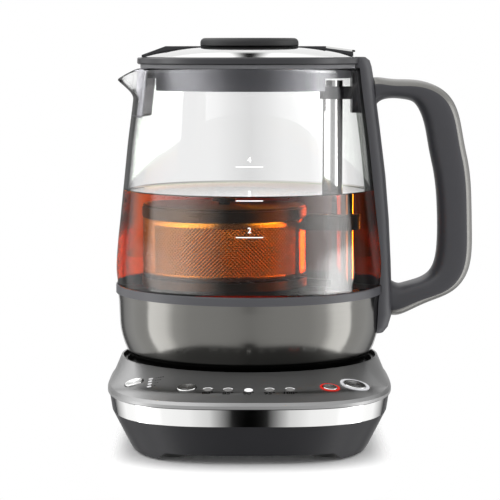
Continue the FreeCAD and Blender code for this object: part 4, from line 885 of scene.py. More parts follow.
def text_outline(words: str, height: float) -> Outline:
    """Return flat figures, centred on the origin.

    Args:
        words: the figures.
        height: how tall a figure is.

    Returns:
        Their points in the XY plane and their faces.
    """
    curve = bpy.data.curves.new("figures", "FONT")
    curve.body = words
    curve.align_x = "CENTER"
    curve.align_y = "CENTER"
    curve.size = height / FIGURE_SHARE
    curve.offset = INK_SPREAD * height
    curve.resolution_u = 3
    carrier = bpy.data.objects.new("figures", curve)
    bpy.context.scene.collection.objects.link(carrier)
    bpy.context.view_layer.update()
    mesh = bpy.data.meshes.new_from_object(carrier.evaluated_get(bpy.context.evaluated_depsgraph_get()))
    points = [tuple(v.co) for v in mesh.vertices]
    faces = [tuple(p.vertices) for p in mesh.polygons]
    bpy.data.objects.remove(carrier)
    bpy.data.curves.remove(curve)
    bpy.data.meshes.remove(mesh)
    return points, faces


def bar_outline(width: float, height: float, centre: Range = (0.0, 0.0), steps: int = 8) -> Outline:
    """Draw a flat bar, cut into steps along its width so that it can be bent.

    Args:
        width: how long it is.
        height: how thick it is.
        centre: where its middle lies.
        steps: how many steps it is cut into.

    Returns:
        Its points in the XY plane and its faces.
    """
    x0, y0 = centre[0] - width / 2, centre[1] - height / 2
    points = [(x0 + width * k / steps, y0 + height * row, 0.0) for row in (0, 1) for k in range(steps + 1)]
    faces = [(k, k + 1, steps + 2 + k, steps + 1 + k) for k in range(steps)]
    return points, faces


def arc_outline(outer: float, inner: float, start: float, end: float, steps: int = 16) -> Outline:
    """Draw a flat piece of a ring.

    Args:
        outer: its outer radius.
        inner: its inner radius.
        start: the angle where it starts, in degrees.
        end: the angle where it ends.
        steps: how many steps it is cut into.

    Returns:
        Its points in the XY plane and its faces.
    """
    points = []
    for k in range(steps + 1):
        turn = math.radians(start + (end - start) * k / steps)
        points += [(inner * math.cos(turn), inner * math.sin(turn), 0.0),
                   (outer * math.cos(turn), outer * math.sin(turn), 0.0)]
    return points, [(2 * k, 2 * k + 1, 2 * k + 3, 2 * k + 2) for k in range(steps)]


class Print:
    """Flat marks that are gathered, bent onto a surface and made into one piece."""

    def __init__(self) -> None:
        """Start with no marks."""
        self.points: list[Point] = []
        self.faces: list[Face] = []

    def add(self, outline: Outline, lay: Callable[[Point], Point]) -> None:
        """Add a mark.

        Args:
            outline: its flat points and faces.
            lay: where a flat point lies on the surface.
        """
        start = len(self.points)
        points, faces = outline
        self.points += [lay(p) for p in points]
        self.faces += [tuple(start + k for k in face) for face in faces]


def dress(frame: dict, finish: Finish, *nodes: str) -> None:
    """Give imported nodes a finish.

    Args:
        finish: the finish.
        *nodes: the nodes' names.
    """
    material = finish.material()
    for node in nodes:
        thing = frame["nodes"][node]
        if not thing.material_slots:
            thing.data.materials.append(material)
        for slot in thing.material_slots:
            slot.material = material
        LOG.info("%s: %s", node, finish.name)


# ------------------------------------------------------------------ the base and its controls
@dataclass
class Deck:
    """The sloping panel of the base, as a surface that marks and buttons are placed on."""

    half_width: float = 77.0 * MM
    half_depth: float = 95.0 * MM
    centre_y: float = -17.0 * MM
    squareness: float = 3.2             # 2 makes an ellipse, more a rounder rectangle
    shoulder_inset: float = 1.4 * MM
    shoulder_z: float = 34.2 * MM
    rise: float = 9.4 * MM              # from the shoulder to the seat
    seat_radius: float = 71.6 * MM
    step: float = 0.01                  # of bearing and share, to find which way the deck slopes

    def point(self, bearing: float, share: float) -> Vector:
        """Return a point of the deck.

        Args:
            bearing: degrees round the jug's axis.
            share: 0 at the shoulder, 1 at the seat.

        Returns:
            The point.
        """
        turn = math.radians(bearing)
        c, s = math.cos(turn), math.sin(turn)
        across = abs(c / (self.half_width - self.shoulder_inset)) ** self.squareness
        deep = abs(s / (self.half_depth - self.shoulder_inset)) ** self.squareness
        reach = (across + deep) ** (-1 / self.squareness)
        edge = Vector((reach * c, self.centre_y + reach * s, self.shoulder_z))
        seat = Vector((self.seat_radius * c, self.seat_radius * s, self.shoulder_z + self.rise))
        return edge.lerp(seat, share)

    def frame_at(self, bearing: float, share: float) -> Matrix:
        """Return the frame of a place: X along the shoulder, Y up the slope, Z square to the deck.

        Args:
            bearing: degrees round the jug's axis.
            share: 0 at the shoulder, 1 at the seat.

        Returns:
            The frame.
        """
        right = (self.point(bearing + self.step, share) - self.point(bearing - self.step, share)).normalized()
        slope = self.point(bearing, share + self.step) - self.point(bearing, share - self.step)
        normal = right.cross(slope).normalized()
        up = normal.cross(right)
        turned = Matrix((right, up, normal)).transposed().to_4x4()
        return Matrix.Translation(self.point(bearing, share)) @ turned

    def upright_frame(self, bearing: float, share: float) -> Matrix:
        """Return the frame of a place with its X level and to the viewer's right.

        Args:
            bearing: degrees round the jug's axis.
            share: 0 at the shoulder, 1 at the seat.

        Returns:
            The frame.
        """
        normal = self.frame_at(bearing, share).col[2].to_3d()
        up = (Vector((0, 1, 0)) - normal * normal.y).normalized()
        right = up.cross(normal)
        turned = Matrix((right, up, normal)).transposed().to_4x4()
        return Matrix.Translation(self.point(bearing, share)) @ turned


@dataclass(frozen=True)
class Button:
    """A push button with a dished, spun face and a rounded edge; heights are over the deck."""

    name: str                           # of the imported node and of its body
    bearing: float
    share: float
    radius: float                       # of its face
    proud: float = 0.7 * MM
    edge: float = 0.35 * MM
    edge_steps: int = 4
    dish: float = 0.45 * MM             # how deep the face is
    rings: int = 5                      # in the dished face
    steps: int = 64
    flange_width: float = 0.9 * MM      # keeps the button in the deck
    flange_high: float = -4.2 * MM
    flange_low: float = -5.1 * MM
    stem_radius: float = 1.8 * MM
    stem_low: float = -8.0 * MM

    def profile(self) -> list[Range]:
        """Draw the button from the foot of its stem to the middle of its face.

        Returns:
            (radius, height) points.
        """
        flange = self.radius + self.flange_width
        inner = self.radius - self.edge
        line = [(0.0, self.stem_low), (self.stem_radius, self.stem_low), (self.stem_radius, self.flange_low),
                (flange, self.flange_low), (flange, self.flange_high), (self.radius, self.flange_high),
                (self.radius, self.proud - self.edge)]
        for k in range(1, self.edge_steps + 1):
            turn = math.pi / 2 * k / self.edge_steps
            line.append((inner + self.edge * math.cos(turn),
                         self.proud - self.edge + self.edge * math.sin(turn)))
        for k in range(1, self.rings):
            share = 1 - k / self.rings
            line.append((inner * share, self.proud - self.dish * (1 - share ** 2)))
        return line + [(0.0, self.proud - self.dish)]


@dataclass
class PowerBase:
    """The powered base: housing, band, deck, seat, buttons and lamps."""

    deck: Deck
    buttons: tuple[Button, ...] = (
        Button("button_strength", -136.1, 0.40, 5.1 * MM),
        Button("button_temperature", -112.3, 0.45, 5.1 * MM),
        Button("button_cancel", -61.3, 0.42, 3.9 * MM),
        Button("button_start", -50.3, 0.40, 6.0 * MM))
    lamps: tuple[tuple[float, str], ...] = (        # bearing, and the temperature that the lamp stands for
        (-104.6, "80°"), (-97.5, "85°"), (-90.3, "90°"), (-82.9, "95°"), (-75.8, "100°"))
    lit: str = "90°"
    lamp_share: float = 0.42
    lamp_radius: float = 2.2 * MM
    figure_height: float = 3.0 * MM
    figure_drop: float = 4.7 * MM                   # from the middle of the lamp
    arc_outer: float = 1.3                          # of a lamp's radius
    arc_inner: float = 1.05
    arc_span: Range = (20.0, 160.0)
    strength_lamps: tuple[Range, ...] = ((-129.9, 0.61), (-128.9, 0.535), (-127.8, 0.46), (-126.8, 0.38))
    bar_width: float = 0.7 * MM
    bar_low: float = 0.6 * MM                       # height of the first bar
    bar_growth: float = 0.25 * MM                   # how much taller each next one is
    bar_start: float = 3.0 * MM                     # from the middle of the lamp
    bar_pitch: float = 1.2 * MM
    print_lift: float = 0.06 * MM
    print_drop: float = 5.0 * MM                    # from how high a mark is let down onto the deck

    def dress(self, frame: dict) -> None:
        """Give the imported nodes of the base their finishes.
        """
        dress(frame, CHARCOAL_ABS, "base_housing")
        dress(frame, BLACK_POLYPROPYLENE, "base_bottom_plate", "cord_gland", "connector_socket",
              "tact_switches")
        dress(frame, BLACK_ABS_GLOSS, "seat_well")
        dress(frame, BAND_STEEL, "base_trim_band")
        dress(frame, SMOKED_DECK, "base_deck")
        dress(frame, FOOT_RUBBER, "rubber_feet")
        dress(frame, PLATED_STEEL, "base_screws")
        dress(frame, CONTACT_BRASS, "socket_contacts")
        dress(frame, BOARD_EPOXY, "control_board")
        dress(frame, LAMP_ACRYLIC, "temperature_leds")
        dress(frame, STRENGTH_ACRYLIC, "strength_leds")
        dress(frame, RED_ACRYLIC, "cancel_ring")
        dress(frame, WHITE_ACRYLIC, "start_ring")

    def button_cap(self, button: Button) -> None:
        """Turn a button and set it into the deck.

        Args:
            button: the button.
        """
        points, faces = lathe(button.profile(), button.steps)
        cap = mesh_piece(button.name + "_cap", points, faces, SPUN_CHROME, button.name,
                         place=self.deck.frame_at(button.bearing, button.share))
        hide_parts(button.name)

    def lay(self, panel: BVHTree, bearing: float, share: float, shift: Range = (0.0, 0.0),
            ) -> Callable[[Point], Point]:
        """Find a place on the deck for a flat mark.

        Args:
            panel: the deck's own surface.
            bearing: the place's bearing on the deck.
            share: its share on the deck.
            shift: how far the mark is moved from there, to the right and up the slope.

        Returns:
            What lays a point of the mark on the deck.
        """
        place = self.deck.upright_frame(bearing, share)
        normal = place.col[2].to_3d()

        def put(point: Point) -> Point:
            """Let a point of the mark down onto the deck.

            Args:
                point: the flat point.

            Returns:
                Where it lies.
            """
            above = place @ Vector((point[0] + shift[0], point[1] + shift[1], self.print_drop))
            hit = panel.ray_cast(above, -normal, 2 * self.print_drop)[0]
            return tuple((hit or above - normal * self.print_drop) + normal * self.print_lift)

        return put

    def marks(self, frame: dict) -> None:
        """Print the deck: temperatures below the lamps, arcs over them and bars for strength.
        """
        deck = frame["nodes"]["base_deck"]
        corners = [deck.matrix_world @ vertex.co for vertex in deck.data.vertices]
        panel = BVHTree.FromPolygons(corners, [tuple(face.vertices) for face in deck.data.polygons])
        dark = Print()
        light = Print()
        for bearing, figure in self.lamps:
            dark.add(text_outline(figure, self.figure_height),
                     self.lay(panel, bearing, self.lamp_share, (0.0, -self.figure_drop)))
            if figure != self.lit:
                light.add(arc_outline(self.lamp_radius * self.arc_outer, self.lamp_radius * self.arc_inner,
                                      *self.arc_span),
                          self.lay(panel, bearing, self.lamp_share))
        for row, (bearing, share) in enumerate(self.strength_lamps):
            for k in range(len(self.strength_lamps) - row):
                bar = bar_outline(self.bar_width, self.bar_low + self.bar_growth * k,
                                  (self.bar_start + self.bar_pitch * k, 0.0), 1)
                dark.add(bar, self.lay(panel, bearing, share))
        mesh_piece("deck_print_dark", dark.points, dark.faces, DECK_PRINT, "base")
        # The white print has a faint painted glow.
        mesh_piece("deck_print_white_painted_glow", light.points, light.faces, DECK_PRINT_WHITE_GLOWING, "base")

    def build(self, frame: dict) -> None:
        """Dress the base and add its buttons and print.
        """
        self.dress(frame)
        for button in self.buttons:
            self.button_cap(button)
        self.marks(frame)


# ------------------------------------------------------------------ the jug
@dataclass
class GlassJug:
    """The blown glass of the jug, its printed marks and the tea in it."""

    foot_z: float = 80.0 * MM
    foot_radius: float = 73.2 * MM
    wall: float = 2.6 * MM
    profile: Stations = (               # height over the foot and change of radius, in millimetres
        (0.0, 0.0), (4.0, 0.3), (12.3, 1.0), (26.0, 0.2), (39.1, -1.2), (66.0, -4.0), (83.0, -5.8),
        (100.0, -8.0), (123.0, -10.7))
    spout_reach: float = 12.6 * MM
    spout_start: float = 106.0          # height over the foot where the spout starts, in millimetres
    spout_full: float = 121.0           # and where it stands out in full
    spout_half_angle: float = 22.0
    spout_cut: tuple[float, float, float] = (62.2 * MM, 5.6 * MM, 12.4 * MM)   # rim: start, drop and run
    rim_passes: int = 6                 # the rim's height and its radius are found from each other
    columns: int = 240
    rows: int = 90
    lip_steps: int = 8
    tea_floor: float = 77.3 * MM
    tea_level: float = 135.6 * MM
    tea_overlap: float = 0.3 * MM       # how far the tea reaches into the glass
    tea_foot_inset: float = 1.0 * MM
    tea_rows: int = 24
    tea_steps: int = 192
    meniscus_rise: float = 0.9 * MM
    meniscus_reach: float = 2.4 * MM
    meniscus_rows: int = 5
    cup_marks: tuple[tuple[float, str], ...] = ((115.3 * MM, "2"), (134.4 * MM, "3"), (152.1 * MM, "4"))
    mark_width: float = 14.4 * MM
    mark_line: float = 0.5 * MM
    mark_figure: float = 2.8 * MM
    mark_figure_rise: float = 3.6 * MM
    mark_lift: float = 0.05 * MM

    def radius(self, height: float) -> float:
        """Return the outer radius at a height over the foot, both as in the profile's millimetres."""
        return self.foot_radius + along(height, self.profile) * MM

    def swell(self, height: float, turn: float) -> float:
        """Return how far the spout stands out.

        Args:
            height: over the foot, in millimetres.
            turn: angle round the jug, in radians.

        Returns:
            The reach beyond the round glass.
        """
        off = abs(math.degrees(turn) - 180.0) / self.spout_half_angle
        if off >= 1:
            return 0.0
        full = self.spout_reach * smoothstep(height, self.spout_start, self.spout_full)
        return full * math.cos(off * math.pi / 2) ** 2

    def top(self, turn: float) -> float:
        """Return where the glass ends.

        Args:
            turn: angle round the jug, in radians.

        Returns:
            The height over the foot, in millimetres.
        """
        full = self.profile[-1][0]
        height = full
        start, drop, run = self.spout_cut
        for _ in range(self.rim_passes):
            out = -(self.radius(height) + self.swell(height, turn)) * math.cos(turn)
            height = full - max(0.0, (out - start) / run) * drop / MM
        return height

    def wall_point(self, height: float, turn: float, depth: float) -> Point:
        """Return a point of the glass.

        Args:
            height: over the foot, in millimetres.
            turn: angle round the jug, in radians.
            depth: how far it lies inside the outer face.

        Returns:
            The point.
        """
        reach = self.radius(height) + self.swell(height, turn) - depth
        return reach * math.cos(turn), reach * math.sin(turn), self.foot_z + height * MM

    def glass(self) -> None:
        """Make the glass: both faces, a flat foot and a fire-polished lip."""
        bead = self.wall / 2
        points: list[Point] = []
        shares = [k / self.rows for k in range(self.rows + 1)]
        for column in range(self.columns):
            turn = 2 * math.pi * column / self.columns
            end = self.top(turn) - bead / MM
            points += [self.wall_point(share * end, turn, self.wall) for share in shares]
            for k in range(1, self.lip_steps):
                bend = math.pi * k / self.lip_steps
                x, y, z = self.wall_point(end, turn, bead + bead * math.cos(bend))
                points.append((x, y, z + bead * math.sin(bend)))
            points += [self.wall_point(share * end, turn, 0.0) for share in reversed(shares)]
        faces = quads(self.columns, 2 * len(shares) + self.lip_steps - 1, True, True)
        glass = mesh_piece("jug_glass", points, faces, JUG_GLASS, "jug", smooth_below=50.0)
        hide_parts("glass_jug")

    def tea(self) -> None:
        """Make the tea as a closed body with a small meniscus; it reaches a little into the glass."""
        level = (self.tea_level - self.foot_z) / MM
        heights = [level * k / self.tea_rows for k in range(self.tea_rows + 1)]
        side = [(self.radius(height) - self.wall + self.tea_overlap, self.foot_z + height * MM)
                for height in heights]
        foot = self.foot_radius - self.wall - self.tea_foot_inset
        edge_r, edge_z = side[-1]
        crown = []
        for k in range(self.meniscus_rows + 1):
            share = k / self.meniscus_rows
            crown.append((edge_r - self.meniscus_reach * share,
                          edge_z + self.meniscus_rise * (1 - share) ** 2))
        profile = [(0.0, self.tea_floor), (foot, self.tea_floor), (foot, self.foot_z)] + side + crown
        points, faces = lathe(profile + [(0.0, edge_z)], self.tea_steps)
        mesh_piece("tea", points, faces, TEA, "jug")

    def marks(self) -> None:
        """Print the cup marks on the front of the glass."""
        marks = Print()
        for line_z, figure in self.cup_marks:

            def lay(point: Point) -> Point:
                """Bend a point of the mark onto the glass.

                Args:
                    point: the flat point.

                Returns:
                    Where it lies.
                """
                z = line_z + point[1]
                reach = self.radius((z - self.foot_z) / MM) + self.mark_lift
                turn = -math.pi / 2 + point[0] / reach
                return reach * math.cos(turn), reach * math.sin(turn), z

            marks.add(bar_outline(self.mark_width, self.mark_line), lay)
            points, faces = text_outline(figure, self.mark_figure)
            marks.add(([(x, y + self.mark_figure_rise, z) for x, y, z in points], faces), lay)
        # The enamel of the marks has a painted glow.
        mesh_piece("cup_marks", marks.points, marks.faces, GLASS_PRINT_GLOWING, "jug")

    def build(self) -> None:
        """Make the glass, the tea and the marks."""
        self.glass()
        self.tea()
        self.marks()


@dataclass
class JugBody:
    """What the glass stands on, and the lift that works inside it."""

    glass: GlassJug
    strainer_low: float = 176.6 * MM
    strainer_high: float = 202.6 * MM
    strainer_gap: float = 0.42 * MM         # to the glass
    strainer_half_angle: float = 23.9
    strainer_wall: float = 1.0 * MM
    strainer_holes: int = 30
    strainer_rows: int = 27
    strainer_hole: float = 0.36 * MM
    strainer_border: float = 2.0            # degrees without holes at each side

    def dress(self, frame: dict) -> None:
        """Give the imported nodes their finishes.
        """
        dress(frame, SMOKED_SHELL, "steel_shell")
        dress(frame, GREY_NYLON, "jug_collar", "post_top_bracket")
        dress(frame, BLACK_POLYPROPYLENE, "underside_cover", "jug_connector")
        dress(frame, FLOOR_STEEL, "floor_plate", "temperature_sensor")
        dress(frame, GREY_SILICONE, "floor_seal", "post_foot_seal")
        dress(frame, CAST_ALUMINIUM, "heater_plate")
        dress(frame, PLATED_STEEL, "heating_element", "lift_motor", "lift_screw", "drive_magnet",
              "saddle_magnet", "handle_screws")
        dress(frame, POST_STEEL, "basket_post")

    def strainer(self) -> None:
        """Make the perforated strainer that stands in front of the spout."""
        glass = self.glass
        width = 2 * math.radians(self.strainer_half_angle) * glass.foot_radius
        pitch = width / (self.strainer_holes + 0.5)     # every second row starts half a hole later

        def bend(way: float, z: float) -> Point:
            """Stand a point of the flat sheet up in the spout.

            Args:
                way: its way along the sheet.
                z: its height.

            Returns:
                Where it stands.
            """
            reach = glass.radius((z - glass.foot_z) / MM) - glass.wall - self.strainer_gap
            turn = math.pi + (way + pitch / 2 - width / 2) / glass.foot_radius
            return reach * math.cos(turn), reach * math.sin(turn), z

        def plain(way: float) -> bool:
            """Return whether the sheet is solid at a way along."""
            off = math.degrees(abs(way + pitch / 2 - width / 2) / glass.foot_radius)
            return off > self.strainer_half_angle - self.strainer_border

        points, faces = perforated_wall(pitch, self.strainer_hole, self.strainer_holes, self.strainer_rows,
                                        self.strainer_low, self.strainer_high, False, bend, plain)
        sheet = mesh_piece("spout_strainer_sheet", points, faces, STRAINER_NYLON, "jug")
        thicken(sheet, self.strainer_wall)
        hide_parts("spout_strainer")

    def build(self, frame: dict) -> None:
        """Dress the lower jug and make its strainer.
        """
        self.dress(frame)
        self.strainer()


@dataclass
class Basket:
    """The tea basket with its perforated wall."""

    x: float = -12.5 * MM
    radius: float = 40.6 * MM
    low: float = 87.8 * MM
    high: float = 120.5 * MM
    wall: float = 0.6 * MM
    holes_round: int = 124
    hole_rows: int = 25
    hole: float = 0.58 * MM
    seam: float = 0.05 * MM         # to the rings above and below
    plain_from: float = 62.0        # degrees from the front and from the back
    shaded_below: float = 0.5      # faces that look less outward than this get the painted shade

    def wall_sheet(self) -> None:
        """Make the perforated wall."""
        pitch = 2 * math.pi * self.radius / self.holes_round

        def bend(way: float, z: float) -> Point:
            """Return where a point of the flat sheet stands."""
            turn = way / self.radius
            return self.x + self.radius * math.cos(turn), self.radius * math.sin(turn), z

        def plain(way: float) -> bool:
            """Return whether the sheet is solid at a way along."""
            return abs(math.cos(way / self.radius)) > math.sin(math.radians(self.plain_from))

        points, faces = perforated_wall(pitch, self.hole, self.holes_round, self.hole_rows,
                                        self.low + self.seam, self.high - self.seam, True, bend, plain)
        sheet = mesh_piece("basket_perforated_wall", points, faces, BASKET_STEEL, "basket")
        thicken(sheet, self.wall)
        # Faces that don't look outward, the inner side and the edges of the holes, get painted shade.
        sheet.data.materials.append(BASKET_INNER_SHADE.material())
        for face in sheet.data.polygons:
            outward = Vector((face.center.x - self.x, face.center.y, 0.0)).normalized()
            face.material_index = int(face.normal.dot(outward) < self.shaded_below)
        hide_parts("basket_mesh")

    def build(self, frame: dict) -> None:
        """Dress the basket and make its wall.
        """
        dress(frame, BASKET_STEEL, "basket_floor")
        # Painted shade: the rings, the rim and the lid are painted dark.
        dress(frame, RIM_SHADE_STEEL, "basket_base_ring", "basket_rim", "basket_lid")
        dress(frame, BLACK_POLYPROPYLENE, "basket_saddle", "basket_lid_knob")
        self.wall_sheet()


@dataclass
class Handle:
    """The bow handle and its spine."""

    def build(self, frame: dict) -> None:
        """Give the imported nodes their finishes.
        """
        dress(frame, HANDLE_NYLON, "handle_spine", "handle_grip")
        # The outer shell's lighter lacquer is partly painted highlight; its metallic sheen is real.
        dress(frame, HANDLE_HIGHLIGHT_LACQUER, "handle_outer_shell")


@dataclass
class Lid:
    """The lid: plug, seal, rim, dome, bar and knob."""

    dome_radius: float = 60.0 * MM
    dome_low: float = 209.0 * MM
    dome_wall: float = 1.0 * MM
    dome_curve: Stations = (        # radius and height over its foot, in millimetres
        (0.0, 5.98), (18.0, 5.92), (32.0, 5.5), (41.0, 4.65), (47.5, 3.65), (52.6, 2.55), (57.0, 1.3),
        (60.0, 0.3))
    bar_half: float = 11.15 * MM
    notch_x: float = 55.5 * MM      # where the head of the handle reaches into the dome
    notch_half: float = 17.9 * MM
    dome_steps: int = 96            # from the left edge to the notch
    notch_steps: int = 4            # from there to the right edge
    dome_rows: int = 26             # from the outer edge to the bar

    def dome(self) -> None:
        """Make the shallow dome, in two halves beside the bar."""
        steps, rows = self.dome_steps, self.dome_rows
        radius, notch = self.dome_radius, self.notch_x
        points: list[Point] = []
        faces: list[Face] = []
        start = -math.sqrt(radius ** 2 - self.bar_half ** 2)
        end = math.sqrt(radius ** 2 - self.notch_half ** 2)
        low, high = math.asin(start / radius), math.asin(notch / radius)
        lines = [(radius * math.sin(low + (high - low) * k / steps), self.bar_half) for k in range(steps + 1)]
        lines += [(notch + (end - notch) * k / self.notch_steps, self.notch_half)
                  for k in range(self.notch_steps + 1)]
        for side in (-1, 1):
            first = len(points)
            for x, inner in lines:
                outer = math.sqrt(max(radius ** 2 - x ** 2, inner ** 2))
                for row in range(rows + 1):
                    y = outer + (inner - outer) * (1 - math.sqrt(1 - row / rows))
                    rise = along(math.hypot(x, y) / MM, self.dome_curve) * MM
                    points.append((x, side * y, self.dome_low + rise))
                points.append((x, side * outer, self.dome_low))
            total = rows + 2
            for column in range(len(lines) - 1):
                a, b = first + column * total, first + (column + 1) * total
                ring = [rows + 1] + [0] + list(range(1, rows + 1))
                for lower, upper in zip(ring, ring[1:]):
                    face = (a + lower, b + lower, b + upper, a + upper)
                    faces.append(face if side < 0 else face[::-1])
        dome = mesh_piece("lid_dome", points, faces, DOME_STEEL, "lid", smooth_below=40.0)
        thicken(dome, self.dome_wall)
        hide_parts("lid_cap")

    def build(self, frame: dict) -> None:
        """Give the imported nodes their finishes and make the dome.
        """
        self.dome()
        dress(frame, SKIRT_LACQUER, "lid_plug")
        dress(frame, GREY_SILICONE, "lid_seal")
        dress(frame, RIM_NYLON, "lid_rim", "lid_bar")
        dress(frame, DOME_STEEL, "lid_tab")
        dress(frame, FOOT_RUBBER, "lid_tab_tip")
        dress(frame, KNOB_NYLON, "lid_knob")
        dress(frame, PLATED_STEEL, "lid_screws")


# ------------------------------------------------------------------ studio
@dataclass
class Studio:
    """The pale floor, the soft light round the object and the camera."""

    camera_distance: float = 1.1548
    camera_height: float = 0.2142
    camera_aside: float = 0.0003
    camera_pitch: float = 5.562         # degrees below level
    focal_pixels: float = 2074.7
    frame_pixels: float = 500.0
    sensor_mm: float = 36.0
    # Brightness round the object, by degrees from the front (0) to the back (180).
    # What polished metal mirrors:
    metal_sees: Stations = (
        (0, 0.96), (24, 1.1), (54, 1.2), (70, 1.6), (80, 3.4), (100, 4.0), (101, 1.3), (125, 1.2), (145, 0.5),
        (150, 0.2), (160, 0.1), (163, 1.0), (180, 1.0))
    # What is left of that low down in front, where the floor lies in the shade of the camera:
    metal_shade: Stations = ((0, 0.0), (2, 0.01), (5, 0.35), (10, 0.8), (24, 1.0))
    # What glass mirrors on the left and on the right, where a soft box stands nearer:
    glass_sees_left: Stations = (
        (0, 0.02), (30, 0.05), (50, 0.45), (70, 0.9), (80, 1.1), (98, 1.0), (125, 1.0), (132, 0.6),
        (138, 0.05), (180, 0.2))
    glass_sees_right: Stations = (
        (0, 0.02), (40, 0.05), (57, 1.5), (67, 6.0), (74, 12.5), (84, 11.0), (93, 7.0), (100, 4.8),
        (102, 0.05), (180, 0.2))
    # What the things inside the jug mirror above the tea, and what its surface mirrors:
    jug_sees: Stations = (
        (0, 0.38), (20, 0.42), (45, 2.5), (60, 4.8), (96, 4.8), (104, 0.25), (140, 0.3), (160, 1.1),
        (180, 1.4))
    # What lights the basket through the tea, on the left and on the right:
    tea_sees_left: Stations = (
        (0, 0.1), (12, 0.3), (27, 2.6), (52, 4.3), (65, 6.0), (80, 4.4), (114, 2.6), (141, 1.0), (180, 0.5))
    tea_sees_right: Stations = (
        (0, 0.1), (31, 0.1), (43, 0.5), (56, 3.0), (70, 7.5), (84, 11.0), (101, 16.0), (125, 22.0),
        (140, 30.0), (160, 30.0), (168, 1.0), (180, 1.0))
    # What shows through the glass: white straight behind, dark flags beside it that draw its edges:
    behind: Stations = ((0, 0.05), (120, 0.06), (150, 0.3), (165, 0.9), (170, 1.0), (178.6, 1.0), (180, 0.82))
    # And through the tea:
    behind_tea: Stations = (
        (0, 0.02), (158, 0.02), (163, 0.3), (167, 2.0), (172, 2.0), (176, 1.2), (180, 1.2))
    behind_tea_left: float = 0.12               # how much of that is left on the left side
    warmth: Colour = (1.25, 1.45, 1.2, 1.0)     # colour of the light on the basket in the tea
    ambient: Range = (0.55, 1.3)                # light on matt faces from below and from above
    overhead: Range = (2.2, 1.1)                # what metal mirrors above it, on the left and right
    second_mirror: float = 0.3      # how much light metal mirrors that another piece mirrors again
    second_inside: float = 0.25     # brightness of what a thing in the jug mirrors that another mirrors again
    high_in_glass: float = 0.25     # how much of the soft boxes' light is left above the height of the tea
    steep: float = 0.2              # how much shows through the glass straight up and down
    tea_depth: Range = (0.08, 1.1)  # light on the basket from near its floor and from higher up
    gap_wide: Range = (0.2, 1.05)   # light in the dark gap between the boxes overhead, and beside it
    # Where one kind of light gives way to another. Ways point left (-1) to right (1) or down (-1) to up (1).
    shade_z: Range = (-0.36, -0.45)
    overhead_z: Range = (0.4, 0.52)
    overhead_x: Range = (-0.4, 0.4)
    gap_z: Range = (0.62, 0.72)
    gap_narrow_x: Range = (0.004, 0.05)
    gap_wide_x: Range = (0.008, 0.062)
    sides_x: Range = (-0.1, 0.1)
    glass_z: Range = (0.0, 0.06)
    tea_z: Range = (-0.26, -0.17)
    steep_z: Range = (0.35, 0.7)
    ambient_z: Range = (-0.2, 0.9)
    # A ray has passed this many faces of glass and tea when it comes out of the jug, or out of the tea:
    jug_faces: float = 2.5
    tea_faces: float = 4.5
    floor_half: float = 0.6
    lamp_aim: Point = (0.0, 0.0, 0.11)

    def camera(self) -> None:
        """Set up the camera."""
        lens = bpy.data.cameras.new("camera")
        lens.sensor_width = self.sensor_mm
        lens.lens = self.focal_pixels / self.frame_pixels * self.sensor_mm
        lens.clip_end = 20.0
        camera = bpy.data.objects.new("camera", lens)
        camera.location = (self.camera_aside, -self.camera_distance, self.camera_height)
        camera.rotation_euler = (math.radians(90 - self.camera_pitch), 0.0, 0.0)
        bpy.context.scene.collection.objects.link(camera)
        bpy.context.scene.camera = camera

    def ring(self, tree: bpy.types.NodeTree, bearing: bpy.types.NodeSocket, stations: Stations,
             ) -> bpy.types.NodeSocket:
        """Add a ramp of brightness round the object.

        Args:
            tree: the world's tree.
            bearing: 0 at the front, 1 at the back.
            stations: (degrees, brightness) from the front.

        Returns:
            The brightness.
        """
        peak = max(level for _, level in stations)
        ramp = add_node(tree, "ShaderNodeValToRGB", links={"Fac": bearing})
        stops = ramp.color_ramp.elements
        while len(stops) > 1:
            stops.remove(stops[-1])
        for k, (degrees, level) in enumerate(stations):
            stop = stops[0] if k == 0 else stops.new(degrees / 180)
            stop.position = degrees / 180
            stop.color = (level / peak,) * 3 + (1.0,)
        return calculate(tree, "MULTIPLY", ramp.outputs["Color"], peak)

    def mirrored(self, tree: bpy.types.NodeTree, x: bpy.types.NodeSocket, z: bpy.types.NodeSocket,
                 bearing: bpy.types.NodeSocket) -> bpy.types.NodeSocket:
        """Return the brightness that polished metal mirrors.

        Args:
            tree: the world's tree.
            x: how far to the right a direction points.
            z: how far up.
            bearing: 0 at the front, 1 at the back.

        Returns:
            The brightness.
        """
        shaded = blend(tree, remap(tree, z, self.shade_z), 1.0, self.ring(tree, bearing, self.metal_shade))
        level = calculate(tree, "MULTIPLY", self.ring(tree, bearing, self.metal_sees), shaded)
        boxes = remap(tree, x, self.overhead_x, self.overhead)
        aside = calculate(tree, "ABSOLUTE", x)
        narrow = remap(tree, aside, self.gap_narrow_x)
        wide = remap(tree, aside, self.gap_wide_x, self.gap_wide)
        gap = blend(tree, remap(tree, z, self.gap_z), narrow, wide)
        above = calculate(tree, "MULTIPLY", boxes, gap)
        return blend(tree, remap(tree, z, self.overhead_z), level, above)

    def sided(self, tree: bpy.types.NodeTree, right: bpy.types.NodeSocket, bearing: bpy.types.NodeSocket,
              stations: tuple[Stations, Stations]) -> bpy.types.NodeSocket:
        """Add two ramps of brightness, one for each side of the object.

        Args:
            tree: the world's tree.
            right: 0 on the left, 1 on the right.
            bearing: 0 at the front, 1 at the back.
            stations: of the left and of the right side.

        Returns:
            The brightness.
        """
        left_ring, right_ring = (self.ring(tree, bearing, side) for side in stations)
        return blend(tree, right, left_ring, right_ring)

